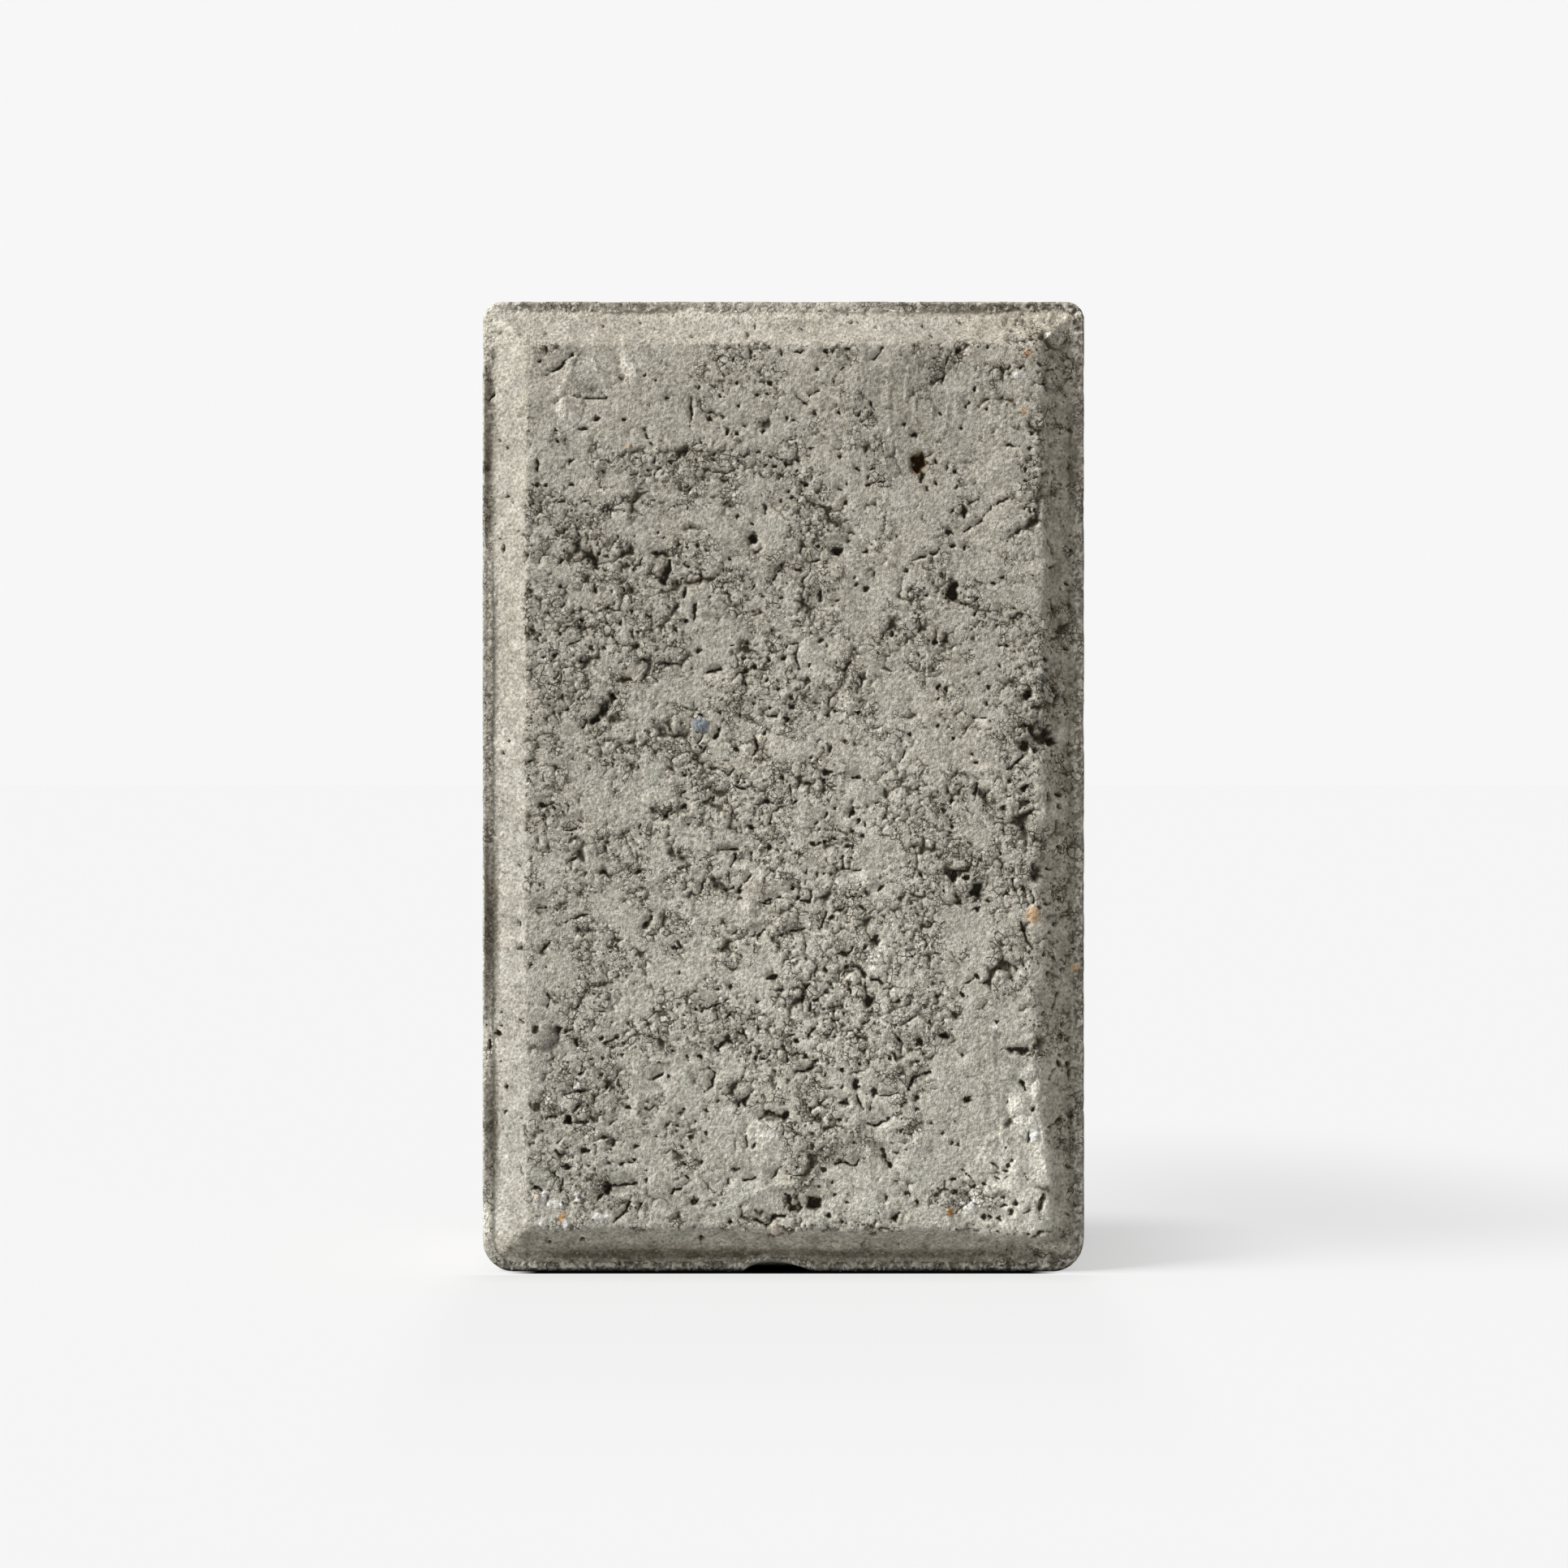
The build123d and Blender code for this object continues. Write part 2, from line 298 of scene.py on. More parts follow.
# Oval pits: middle, half width, half height, and lean to the right in degrees.
OVALS = (
    (819, 709, 5, 13, 20), (1131, 570, 7.5, 10.5, 0), (1136, 587, 3, 6, 10), (1188, 631, 4, 6, 0),
    (1169, 656, 4.5, 3, 0), (1031, 679, 7, 5, 20), (1173, 729, 7, 12, 10), (928, 664, 5, 6, 20),
    (733, 727, 2.5, 6, 0), (856, 752, 3, 9, 0), (1011, 734, 2.5, 7, 0), (718, 815, 9, 2.3, 0),
    (772, 837, 7, 2.3, 0), (953, 882, 6, 2, 0), (984, 702, 6, 2.2, 0), (845, 556, 2.4, 5, 30),
    (662, 574, 2, 8, 0), (925, 435, 2, 6, 0), (943, 626, 2, 6, 0), (718, 528, 6, 2, 0),
    (1246, 549, 7, 2, 0), (984, 433, 6, 2, 0), (618, 674, 1.7, 6, 0), (1264, 919, 4.5, 8, 0),
    (1280, 908, 8, 3, 10), (1277, 924, 4, 3, 0), (1176, 1078, 5, 6, 30), (1204, 1095, 6, 9, 35),
    (1249, 1293, 10, 3, 0), (1262, 1296, 7, 4, 0), (710, 1284, 2.4, 6, 0), (972, 1478, 4, 5, 0),
    (1002, 1483, 8, 9, 0), (980, 1489, 8, 4, 0), (1283, 1484, 3.5, 11, 12), (1202, 974, 2.4, 8, 10),
    (1272, 900, 8, 5, 70), (1290, 903, 9, 4, 100), (1262, 920, 5, 7, 0), (1296, 914, 5, 5, 0),
    (1265, 857, 5, 6, 0), (1294, 981, 2.2, 6, 0), (1054, 1337, 4, 6, 0), (1041, 1358, 3.4, 4, 0),
    (907, 1441, 5, 2, 0), (863, 1529, 3.6, 2.4, 0), (1076, 1523, 4, 2, 0), (675, 1534, 4, 2, 0),
    (716, 1530, 4, 2, -20), (1071, 1235, 5, 7, 20), (1164, 1277, 5, 4, 0), (953, 1204, 7, 4, 0),
    (697, 1437, 5, 2, 0), (866, 1091, 2.4, 9, 15), (660, 1269, 4, 6, 0), (700, 1381, 5, 5, 0),
    (718, 1383, 9, 2.4, 0), (1078, 1157, 4, 6, 40), (1016, 952, 4, 2.6, 0), (1055, 958, 7, 2.2, 0),
    (748, 1466, 6, 6, 0), (1309, 1380, 2.2, 6, 0), (1311, 1264, 2, 4, 0), (1310, 1277, 2, 4, 0),
    (1268, 1402, 2.4, 6, 0), (1212, 1501, 2, 5, 0), (1194, 1480, 3, 5, 0), (1267, 1522, 3, 2, 0),
    (602, 1289, 2, 6, 0), (1152, 791, 3.5, 3.5, 0), (668, 993, 5, 4, 30), (1023, 922, 2, 6, 15),
)

# Cracks and crevices: width, then x and y of the points along it.
CREVICES = (
    (10, 731, 888, 744, 876, 754, 859), (4, 671, 462, 688, 453, 706, 436), (3, 1062, 520, 1075, 508),
    (2.6, 997, 488, 1009, 480), (2.6, 982, 488, 994, 499), (3.4, 866, 506, 880, 509, 891, 514),
    (2.4, 880, 581, 896, 583, 909, 576), (2.6, 1170, 436, 1164, 452, 1161, 472),
    (3, 1188, 654, 1206, 644, 1222, 624, 1243, 613), (2.4, 677, 682, 667, 685, 663, 695),
    (3, 840, 691, 849, 699), (4, 845, 725, 842, 736), (3, 701, 795, 719, 786), (3, 837, 686, 848, 699),
    (3, 953, 715, 960, 702), (3, 1000, 693, 1009, 690), (2.4, 1039, 652, 1055, 659),
    (3, 969, 797, 987, 790), (3.4, 980, 806, 985, 825), (4, 871, 829, 889, 824),
    (2.4, 859, 879, 873, 884), (2.6, 1028, 854, 1020, 866, 1021, 877), (3, 1125, 690, 1155, 680),
    (2.8, 1181, 741, 1191, 747, 1205, 738), (2.4, 1168, 790, 1152, 791, 1155, 774),
    (2.4, 1199, 884, 1213, 884), (2.6, 647, 941, 657, 937), (2.4, 692, 1024, 714, 1020),
    (2.6, 696, 1137, 708, 1131, 722, 1127), (3, 697, 1271, 707, 1268, 706, 1261),
    (5, 793, 1142, 802, 1131), (3, 661, 1120, 673, 1118), (4, 744, 1286, 761, 1278),
    (5, 694, 1349, 708, 1346, 720, 1344), (3, 654, 1361, 656, 1367, 661, 1370),
    (4, 684, 1418, 688, 1423, 699, 1425), (2.4, 686, 1409, 693, 1400), (2.6, 694, 1453, 690, 1469),
    (4, 744, 1462, 762, 1461, 783, 1459), (3, 742, 1471, 736, 1480),
    (4.6, 776, 1482, 768, 1495, 757, 1505), (2.6, 791, 1482, 786, 1492, 786, 1501),
    (3.4, 800, 1330, 808, 1328, 819, 1322), (3, 866, 906, 860, 917, 866, 925, 872, 918),
    (5, 887, 898, 881, 909), (3, 930, 906, 933, 922, 925, 935), (3, 947, 898, 941, 904),
    (2.4, 889, 949, 898, 955, 905, 947), (3.4, 907, 970, 918, 971), (3, 914, 954, 909, 964),
    (3, 949, 1015, 951, 1004, 960, 995), (2.6, 973, 967, 976, 981), (3, 981, 987, 975, 993),
    (5, 884, 1047, 898, 1046, 912, 1046), (3, 907, 1051, 905, 1060, 901, 1067),
    (3, 1067, 994, 1074, 993, 1082, 987), (3.4, 1038, 1056, 1039, 1070, 1052, 1072, 1062, 1071),
    (2.6, 1041, 1043, 1051, 1042, 1052, 1051), (3.6, 891, 1098, 904, 1094),
    (2.6, 909, 1095, 918, 1086, 926, 1079), (3, 987, 1110, 998, 1111, 1000, 1097),
    (4, 939, 1113, 948, 1115, 949, 1108, 962, 1106), (3.6, 1027, 1124, 1040, 1120),
    (3, 1012, 1142, 1019, 1124), (3.4, 975, 1147, 992, 1144), (4, 934, 1153, 941, 1146),
    (2.6, 1117, 919, 1114, 930, 1107, 939), (2.6, 1187, 903, 1198, 890),
    (3.6, 1241, 948, 1252, 940, 1264, 928), (2.4, 1309, 934, 1318, 956),
    (3, 1241, 1102, 1247, 1092, 1249, 1083), (3, 1269, 1097, 1273, 1105, 1274, 1115),
    (3.6, 1259, 1136, 1261, 1147, 1265, 1160, 1272, 1167), (2.6, 1141, 1142, 1152, 1136),
    (5, 1038, 1173, 1044, 1179, 1051, 1167), (5, 1065, 1168, 1074, 1158),
    (4, 1033, 1207, 1035, 1198, 1044, 1190, 1055, 1190, 1063, 1196),
    (4, 1063, 1196, 1067, 1210, 1067, 1218, 1071, 1234), (4, 1075, 1207, 1082, 1208, 1089, 1212),
    (2.4, 1037, 1203, 1046, 1197, 1054, 1196), (3.6, 1016, 1257, 1024, 1253, 1028, 1261),
    (5, 1064, 1262, 1072, 1257), (3.6, 995, 1212, 990, 1224, 987, 1237),
    (3.2, 1019, 1222, 1006, 1232, 999, 1234, 998, 1246), (3, 865, 1244, 882, 1240, 898, 1231),
    (2.4, 905, 1268, 921, 1279, 913, 1265), (3.4, 898, 1277, 886, 1291),
    (3, 950, 1297, 944, 1304, 938, 1305), (2.6, 965, 1288, 969, 1296, 970, 1308),
    (5, 995, 1279, 1002, 1269), (4, 975, 1286, 984, 1281), (3, 969, 1279, 978, 1275),
    (5, 981, 1321, 992, 1320, 1003, 1315), (3, 1003, 1330, 1012, 1340, 1026, 1341),
    (3, 1053, 1338, 1057, 1352, 1064, 1368), (2.4, 1084, 1350, 1096, 1350, 1107, 1347),
    (3, 872, 1316, 881, 1323, 877, 1337, 868, 1346), (4.6, 925, 1346, 918, 1355, 910, 1362),
    (5, 937, 1378, 947, 1369, 955, 1374, 966, 1380), (6, 966, 1380, 970, 1371),
    (2.6, 998, 1369, 1009, 1361, 1020, 1353), (2.6, 1008, 1372, 999, 1386),
    (3.4, 1070, 1384, 1078, 1388, 1096, 1378), (3, 920, 1400, 921, 1413), (2.4, 1073, 1355, 1072, 1368),
    (4.6, 1088, 1416, 1092, 1430, 1099, 1437), (2.6, 1203, 1204, 1194, 1209, 1186, 1216),
    (4, 1106, 1280, 1113, 1286, 1108, 1297), (4, 1147, 1322, 1136, 1324, 1124, 1329, 1120, 1343),
    (3.4, 1116, 1358, 1110, 1364), (3.4, 1257, 1330, 1263, 1342), (2.6, 1293, 1391, 1309, 1380),
    (2.4, 1316, 1405, 1305, 1416), (3.4, 1028, 1434, 1042, 1432, 1053, 1437, 1059, 1430),
    (2.8, 916, 1455, 932, 1452), (5, 932, 1504, 946, 1510, 955, 1498, 967, 1499),
    (3.4, 964, 1513, 971, 1519, 978, 1518), (3, 944, 1522, 958, 1524, 966, 1522),
    (3, 1180, 1516, 1197, 1516, 1206, 1518), (4.4, 1274, 1525, 1284, 1518, 1294, 1519),
    (2.4, 704, 487, 716, 490, 734, 491, 748, 490), (2.6, 1222, 1432, 1232, 1440, 1243, 1438),
    (2.4, 1238, 1452, 1246, 1446), (2.2, 1262, 1446, 1266, 1454), (2.4, 1262, 1496, 1270, 1490),
    (2.4, 1234, 1487, 1242, 1484), (3, 1234, 1442, 1242, 1444), (3, 1296, 740, 1302, 760),
    (3, 1306, 1006, 1302, 1024), (3.4, 1295, 842, 1304, 856, 1300, 870), (3, 1290, 1170, 1300, 1182),
    (2.6, 1304, 1226, 1300, 1244), (3, 1292, 664, 1298, 682), (3, 1084, 1514, 1096, 1516),
    (3, 783, 1518, 793, 1517), (2.6, 639, 1436, 642, 1448), (2.4, 1294, 1330, 1301, 1318),
    (3, 1318, 1310, 1320, 1330), (2.4, 963, 1437, 951, 1452), (3.4, 670, 1170, 677, 1162),
    (3, 673, 1224, 677, 1231, 674, 1240), (3.4, 832, 1156, 840, 1168),
    (4, 677, 1290, 686, 1280, 690, 1268), (3.4, 673, 1378, 686, 1376), (4, 706, 1370, 714, 1362),
    (3, 751, 1386, 760, 1378), (2.6, 799, 1368, 809, 1362), (4, 718, 898, 722, 890),
    (3, 601, 490, 608, 479), (3, 1082, 1098, 1089, 1090), (3.6, 1068, 598, 1079, 595, 1090, 593),
    (2.6, 1150, 683, 1158, 676), (3, 1190, 502, 1194, 495), (3, 926, 727, 931, 719),
    (2.6, 988, 717, 1000, 701), (3, 750, 678, 761, 662), (3, 780, 702, 792, 689),
    (2.6, 690, 748, 700, 737), (3, 1078, 505, 1072, 495), (2.8, 1030, 463, 1038, 453),
    (2.8, 1076, 443, 1089, 428), (2.6, 851, 488, 852, 508, 851, 526), (2.4, 848, 556, 858, 546),
    (2.6, 1087, 1384, 1076, 1388), (3, 1186, 1487, 1180, 1494), (2.4, 1186, 1441, 1203, 1459),
)

# Grains and lumps that stand proud: middle, half width, half height, lean, height in mm.
LUMPS = (
    (702, 504, 18, 17, 30, 0.45), (1260, 1376, 13, 33, -24, 0.36), (1268, 1328, 7, 15, 25, 0.3),
    (1276, 1345, 6, 14, 10, 0.26), (1238, 1402, 26, 7, 80, 0.14), (1252, 1462, 22, 40, 0, 0.14),
    (1232, 1436, 26, 14, 40, 0.12), (1225, 1480, 22, 26, 0, 0.14), (774, 452, 9, 17, -22, 0.3),
    (724, 460, 14, 20, -25, 0.14), (860, 918, 9, 9, 0, 0.2), (863, 893, 10, 9, 0, 0.3),
    (672, 1276, 16, 17, 20, 0.3), (681, 1366, 15, 8, 70, 0.32), (701, 1362, 12, 12, 0, 0.26),
    (692, 1380, 7, 6, 0, 0.2), (727, 1404, 8, 13, 10, 0.3), (690, 1410, 12, 10, 0, 0.2),
    (1050, 1212, 15, 19, 0, 0.25), (1084, 1183, 14, 20, 10, 0.3), (1078, 677, 8, 8, 0, 0.16),
    (1099, 673, 9, 9, 0, 0.18), (1030, 699, 10, 15, 0, 0.14), (911, 611, 10, 8, 0, 0.14),
    (876, 836, 9, 8, 0, 0.18), (982, 856, 7, 14, 0, 0.16), (1052, 870, 8, 8, 0, 0.16),
    (809, 556, 6, 6, 0, 0.12), (937, 909, 4, 4, 0, 0.14), (937, 1086, 22, 12, 50, 0.14),
    (940, 1400, 21, 22, 20, 0.22), (1014, 1334, 12, 12, 0, 0.18), (1134, 1404, 13, 13, 0, 0.16),
    (815, 1316, 11, 6, 60, 0.18), (1273, 1127, 10, 6.5, 100, 0.25), (802, 983, 11, 11, 0, 0.12),
    (769, 1001, 10, 5, 60, 0.12), (667, 1230, 9, 9, 0, 0.14), (1275, 1402, 7, 7, 0, 0.26),
    (955, 1515, 9, 6, 90, 0.25), (693, 1293, 5, 5, 0, 0.14), (1270, 1146, 6, 10, 10, 0.2),
    (932, 592, 12, 10, 0, 0.08), (683, 1430, 14, 5, 90, 0.14), (713, 1474, 4.5, 8, -15, 0.18),
    (736, 1500, 5, 5, 0, 0.18), (660, 1475, 8, 4, 75, 0.18), (671, 1473, 4, 5, 0, 0.16),
    (693, 1485, 4, 4, 0, 0.14), (748, 1498, 4, 4, 0, 0.14), (693, 1500, 4, 6, 0, 0.16),
    (697, 1507, 4, 4, 0, 0.14), (1090, 1388, 11, 8, 80, 0.14), (1196, 1484, 12, 10, 0, 0.2),
    (1171, 1493, 6, 4, 90, 0.12), (1150, 515, 8, 16, 30, 0.1), (1228, 1265, 4, 4, 0, 0.14),
    (1291, 1497, 6, 16, 0, 0.16),
)

# Raised lines that dragging and spalling left: width, height in mm, then x and y of the points.
RIDGES = (
    (9, 0.5, 690, 485, 693, 472, 702, 456, 707, 440), (10, 0.42, 767, 436, 775, 450, 784, 466),
    (5, 0.36, 730, 443, 738, 460, 746, 474), (3, 0.22, 1090, 545, 1091, 590, 1089, 640),
    (4, 0.2, 1096, 440, 1094, 490, 1097, 540), (3, 0.2, 1130, 445, 1128, 500, 1131, 550),
    (4, 0.24, 1147, 500, 1153, 524, 1162, 531, 1168, 500), (3, 0.2, 1118, 452, 1116, 520),
    (3, 0.16, 1036, 462, 1033, 500), (4, 0.14, 1243, 1350, 1247, 1375, 1255, 1394, 1271, 1406),
    (9, 0.22, 1279, 1412, 1289, 1440, 1293, 1470, 1290, 1506), (4, 0.25, 1233, 1340, 1244, 1355),
    (5, 0.34, 1254, 1332, 1264, 1322, 1272, 1308, 1276, 1298),
    (4, 0.3, 1191, 1452, 1203, 1466, 1213, 1480), (5, 0.2, 1206, 1430, 1216, 1408, 1236, 1396),
    (4, 0.16, 1215, 1425, 1228, 1408), (3, 0.1, 900, 1458, 925, 1446, 948, 1430),
    (4, 0.12, 893, 1492, 925, 1474, 960, 1456), (3, 0.12, 1290, 1478, 1296, 1440, 1294, 1420),
)

# The rest are soft spots: middle, half width, half height, and a strength.

# Broad hollows (+) and swells (-), by depth in mm.
HOLLOWS = (
    (660, 467, 14, 12, 0.25), (722, 474, 34, 26, 0.26), (752, 460, 20, 18, 0.1),
    (1260, 1312, 12, 16, 0.35), (744, 880, 22, 22, 0.2), (820, 712, 26, 26, 0.2),
    (1204, 1096, 26, 22, 0.25), (1052, 1225, 40, 40, 0.2), (1173, 729, 16, 20, 0.2),
    (1131, 572, 14, 18, 0.2), (955, 1372, 30, 14, 0.15), (1240, 1090, 40, 30, 0.15),
    (1278, 912, 24, 20, 0.3), (1254, 1420, 34, 60, 0.25), (1200, 1440, 30, 30, 0.15),
    (1270, 1450, 10, 34, 0.3), (698, 1374, 34, 26, 0.15), (950, 1502, 24, 10, 0.3),
    (610, 700, 8, 60, 0.1), (680, 1462, 26, 20, 0.15), (1130, 430, 40, 16, 0.1),
    (1225, 1350, 24, 60, -0.12), (960, 1450, 120, 24, -0.1), (1165, 515, 14, 16, 0.14),
    (1205, 1300, 30, 40, -0.08),
)

# Where the concrete is more (+) or less (-) open.
OPENNESS = (
    (750, 780, 110, 150, 0.45), (730, 475, 90, 46, -2.2), (1110, 490, 90, 70, -0.8),
    (1060, 1210, 90, 60, 0.5), (1215, 1080, 60, 90, 0.6), (1210, 1340, 50, 90, -1.6),
    (900, 1440, 40, 60, -0.5), (800, 1400, 60, 50, -0.25), (960, 1000, 110, 150, 0.35),
    (1255, 1455, 50, 60, -0.7), (1000, 1300, 130, 70, 0.35), (690, 1400, 50, 60, 0.3),
    (830, 520, 70, 30, -0.5), (1260, 1375, 22, 42, -1.5), (1240, 500, 50, 60, -0.2),
    (820, 560, 120, 50, 0.1), (1120, 1460, 60, 40, -0.5), (680, 1330, 40, 40, -0.2),
    (970, 640, 90, 60, 0.1), (1200, 780, 70, 70, 0), (880, 1200, 120, 60, 0.15), (1280, 910, 40, 50, 0.6),
    (1160, 1420, 60, 30, -0.4), (1120, 620, 60, 60, -0.7),
)

# Where something was dragged up and down the face while it was wet.
DRAGGED = ((1120, 490, 110, 80, 1), (1215, 1350, 40, 60, 1), (1060, 600, 60, 70, 0.6))

# Where the groove is pressed deep, as a share of its depth.
GROOVE_SHARES = (
    (604, 560, 9, 80, 0.2), (605, 630, 9, 26, 0.2), (604, 1138, 12, 90, 1), (606, 1395, 10, 62, 0.9),
    (760, 1549, 150, 11, 0.8), (1120, 1549, 160, 11, 0.8), (1322, 560, 8, 60, 0.8),
    (1321, 900, 8, 240, 0.4), (1321, 1380, 8, 90, 0.5), (785, 382, 44, 8, 0.6), (1190, 383, 100, 8, 0.8),
    (1040, 384, 20, 8, 0.4), (600, 850, 8, 110, 0.3),
)

# Where the land is ditched behind a thin outer rim; the ditch is also painted darker, with dirt and painted
# shade.
DITCHES = (
    (601, 560, 10, 80, 0.75), (603, 640, 14, 20, 0.4), (605, 1130, 14, 85, 1.15),
    (608, 1395, 8, 60, 1.15), (602, 470, 8, 24, 0.4), (800, 378, 50, 9, 0.35), (1200, 379, 90, 9, 0.5),
    (670, 376, 30, 8, 0.3),
)

# Where the land's outer edge is rubbed rounder, by more radius in mm.
LAND_WEAR = (
    (603, 400, 16, 50, 0.7), (603, 1512, 16, 34, 0.7), (965, 372, 400, 8, 0.3), (600, 900, 8, 90, 0.2),
    (603, 1295, 14, 32, 0.6),
)

# Where the brow is rubbed round.
WEAR = (
    (1278, 1490, 44, 60, 1.6), (1290, 400, 40, 30, 0.7), (650, 440, 30, 30, 0.3),
    (1240, 1524, 50, 18, 1.1), (1286, 1000, 20, 60, 0.6), (1286, 900, 24, 40, 0.6),
    (1286, 1150, 20, 60, 0.5), (1286, 1300, 20, 60, 0.5), (1286, 700, 20, 120, 0.3),
    (640, 1520, 20, 20, 0.2), (955, 1516, 24, 12, 0.5),
)

# Where the brow wanders, by how far out the face reaches in mm.
BROW_SHIFTS = (
    (1272, 1500, 50, 62, 2.1), (1292, 400, 70, 36, 1), (955, 1515, 26, 20, 0.5), (1290, 1420, 30, 60, 1),
    (1286, 1000, 20, 30, 0.9), (1290, 905, 20, 24, -1.2), (1286, 840, 20, 30, 0.7),
    (1288, 1130, 20, 24, 0.8), (1286, 1240, 20, 26, -0.7), (1288, 700, 20, 40, 0.5),
    (1288, 600, 20, 24, -0.5), (1286, 1060, 20, 16, -0.8), (1120, 1512, 60, 20, 0.35),
    (1200, 1510, 30, 16, -0.4), (650, 700, 30, 90, 0.2), (640, 1350, 30, 80, -0.15),
)

# Paler (+) or darker (-) stretches: the concrete's own tone, and painted highlights where the left and top
# rims and lands catch the light, and painted shade along the right and lower lands and the lower groove.
TONES_AND_PAINTED_LIGHT = (
    (776, 453, 10, 16, 0.4), (697, 462, 7, 22, 0.18), (1262, 1250, 26, 46, 0.18), (607, 412, 4, 22, 0.25),
    (724, 476, 16, 13, -0.2), (1288, 1456, 13, 46, 0.22), (1250, 1515, 50, 12, 0.3),
    (1230, 1424, 40, 16, 0.15), (985, 1180, 250, 340, 0.23), (1255, 1362, 12, 20, 0.3),
    (1269, 1392, 12, 24, 0.42), (965, 378, 420, 8, 0.4), (603, 1505, 16, 36, 0.6),
    (705, 505, 15, 15, 0.28), (970, 384, 400, 5, 0.2), (970, 402, 330, 8, -0.05),
    (1330, 1000, 8, 560, -0.1), (955, 1562, 400, 5, -0.25), (603, 1295, 12, 30, 0.5),
    (603, 680, 10, 26, 0.3), (635, 560, 14, 160, -0.04), (1306, 1250, 14, 200, 0.1),
    (595, 1130, 4, 90, 0.2), (595, 1395, 4, 60, 0.2), (595, 560, 4, 70, 0.15), (603, 405, 14, 44, 0.4),
    (600, 700, 10, 600, 0.05), (955, 1553, 400, 8, -0.25), (1250, 1460, 34, 50, 0.12),
    (1130, 500, 120, 90, -0.1), (1215, 1345, 26, 46, -0.08), (635, 1200, 16, 330, -0.15),
    (635, 700, 16, 300, -0.03), (672, 492, 14, 22, -0.12), (1292, 1120, 20, 330, 0.1),
    (1040, 1487, 34, 18, 0.22), (1196, 1484, 16, 14, 0.4), (1250, 1450, 60, 60, 0.16),
    (1076, 1474, 30, 20, 0.12), (1284, 1300, 8, 40, 0.25), (673, 1280, 18, 18, -0.3),
    (681, 1366, 16, 9, -0.16), (727, 1404, 9, 14, 0.2), (683, 1430, 16, 6, 0.2), (722, 472, 18, 14, -0.1),
    (1173, 729, 12, 16, -0.22), (1110, 470, 60, 40, -0.08), (1100, 445, 90, 22, -0.08),
    (960, 1250, 150, 60, 0.03), (780, 480, 150, 60, -0.03), (1084, 1183, 16, 22, 0.12),
    (1225, 1350, 24, 50, 0.03), (1050, 1320, 90, 60, 0.05), (1200, 1500, 90, 20, 0.12),
    (690, 1340, 50, 20, -0.06), (680, 1455, 30, 20, -0.1), (860, 1440, 60, 40, 0.02),
    (640, 1330, 20, 160, -0.03), (1260, 1312, 10, 12, -0.2), (760, 498, 5, 5, 0.2),
    (1205, 1098, 8, 10, -0.3), (1286, 1404, 8, 40, 0.1), (1002, 1484, 8, 9, -0.25),
)

# Dirt and painted shade along the groove and the foot, where the bevel and the rim shade them.
DIRT_AND_PAINTED_SHADE = (
    (760, 1549, 140, 8, 1), (860, 1549, 130, 8, 0.6), (1120, 1550, 180, 7, 1), (1322, 580, 3, 80, 0.9),
    (1321, 950, 4, 260, 0.5), (1321, 1390, 4, 90, 0.6), (1303, 780, 12, 120, 0.25),
    (1300, 500, 14, 60, 0.15), (610, 1550, 8, 16, -0.2), (1190, 384, 100, 3, 0.4), (785, 383, 50, 3, 0.3),
    (1330, 1300, 6, 220, 0.2), (1330, 560, 6, 60, 0.15),
)

# Colours, linear: the concrete's own, and how rubbing, dirt with painted shade, painted warm shade on
# the shaded bevels and warmth change it, and the painted contact shadow along the foot.
BASE = (0.5, 0.47, 0.398)
RUBBED = np.array([0.98, 1, 1.05])
DIRT_AND_SHADE_SHARE = np.array([0.42, 0.39, 0.35])
SHADED_BEVEL_WARMTH = np.array([0, 0.02, 0.05])
WARM_SHARE = np.array([0.03, 0, -0.02])
# Painted contact shadow along the foot: how high it reaches in mm, and its strength.
FOOT_SHADE_HEIGHT = 0.8
FOOT_SHADE = 0.93

# Pebbles and stains of their own colour: middle, half width, half height, lean, colour.
BLUE_GREY = (0.27, 0.3, 0.33)
DARK_GREY = (0.29, 0.275, 0.235)
TAN = (0.62, 0.42, 0.25)
ORANGE = (0.42, 0.22, 0.07)
CREAM = (0.8, 0.72, 0.58)
WHITE = (0.84, 0.82, 0.76)
PINKISH = (0.62, 0.54, 0.46)
RUST = (0.32, 0.2, 0.09)
PEBBLES = (
    (863, 893, 9, 8, 0, BLUE_GREY), (672, 1278, 14, 15, 20, DARK_GREY), (1267, 434, 4.5, 4, 0, TAN),
    (1262, 505, 3.5, 3.5, 0, TAN), (1253, 461, 4.5, 4, 0, WHITE), (1193, 435, 6, 5, 0, PINKISH),
    (1273, 1127, 10, 6.5, 100, TAN), (1171, 1493, 5, 3.5, 90, ORANGE), (693, 1500, 3.6, 6, 0, ORANGE),
    (660, 1475, 7, 3, 75, CREAM), (713, 1474, 4.5, 8, -15, WHITE), (671, 1473, 3.5, 5, 0, WHITE),
    (697, 1507, 4, 4, 0, WHITE), (736, 1500, 5, 5, 0, WHITE), (748, 1498, 4, 4, 0, WHITE),
    (693, 1485, 4, 4, 0, WHITE), (677, 1483, 3, 3, 0, WHITE), (684, 1483, 3, 3, 0, WHITE),
    (661, 1483, 3, 3, 0, WHITE), (667, 1508, 3, 3, 0, WHITE), (1316, 388, 4, 4, 0, CREAM),
    (1292, 411, 1.4, 5, 35, WHITE), (1281, 828, 3, 3, 0, WHITE), (1131, 571, 9, 12, 0, RUST),
    (775, 549, 3, 3, 0, TAN), (712, 1339, 3.5, 3.5, 0, WHITE), (1228, 1265, 4, 3.5, 0, WHITE),
    (1327, 1194, 4, 4, 0, TAN), (1196, 1484, 8, 8, 0, WHITE), (937, 909, 4, 4, 0, CREAM),
    (1254, 1140, 3, 3, 0, CREAM), (955, 1515, 8, 5, 90, PINKISH),
)
PEBBLE_RISE = 0.05
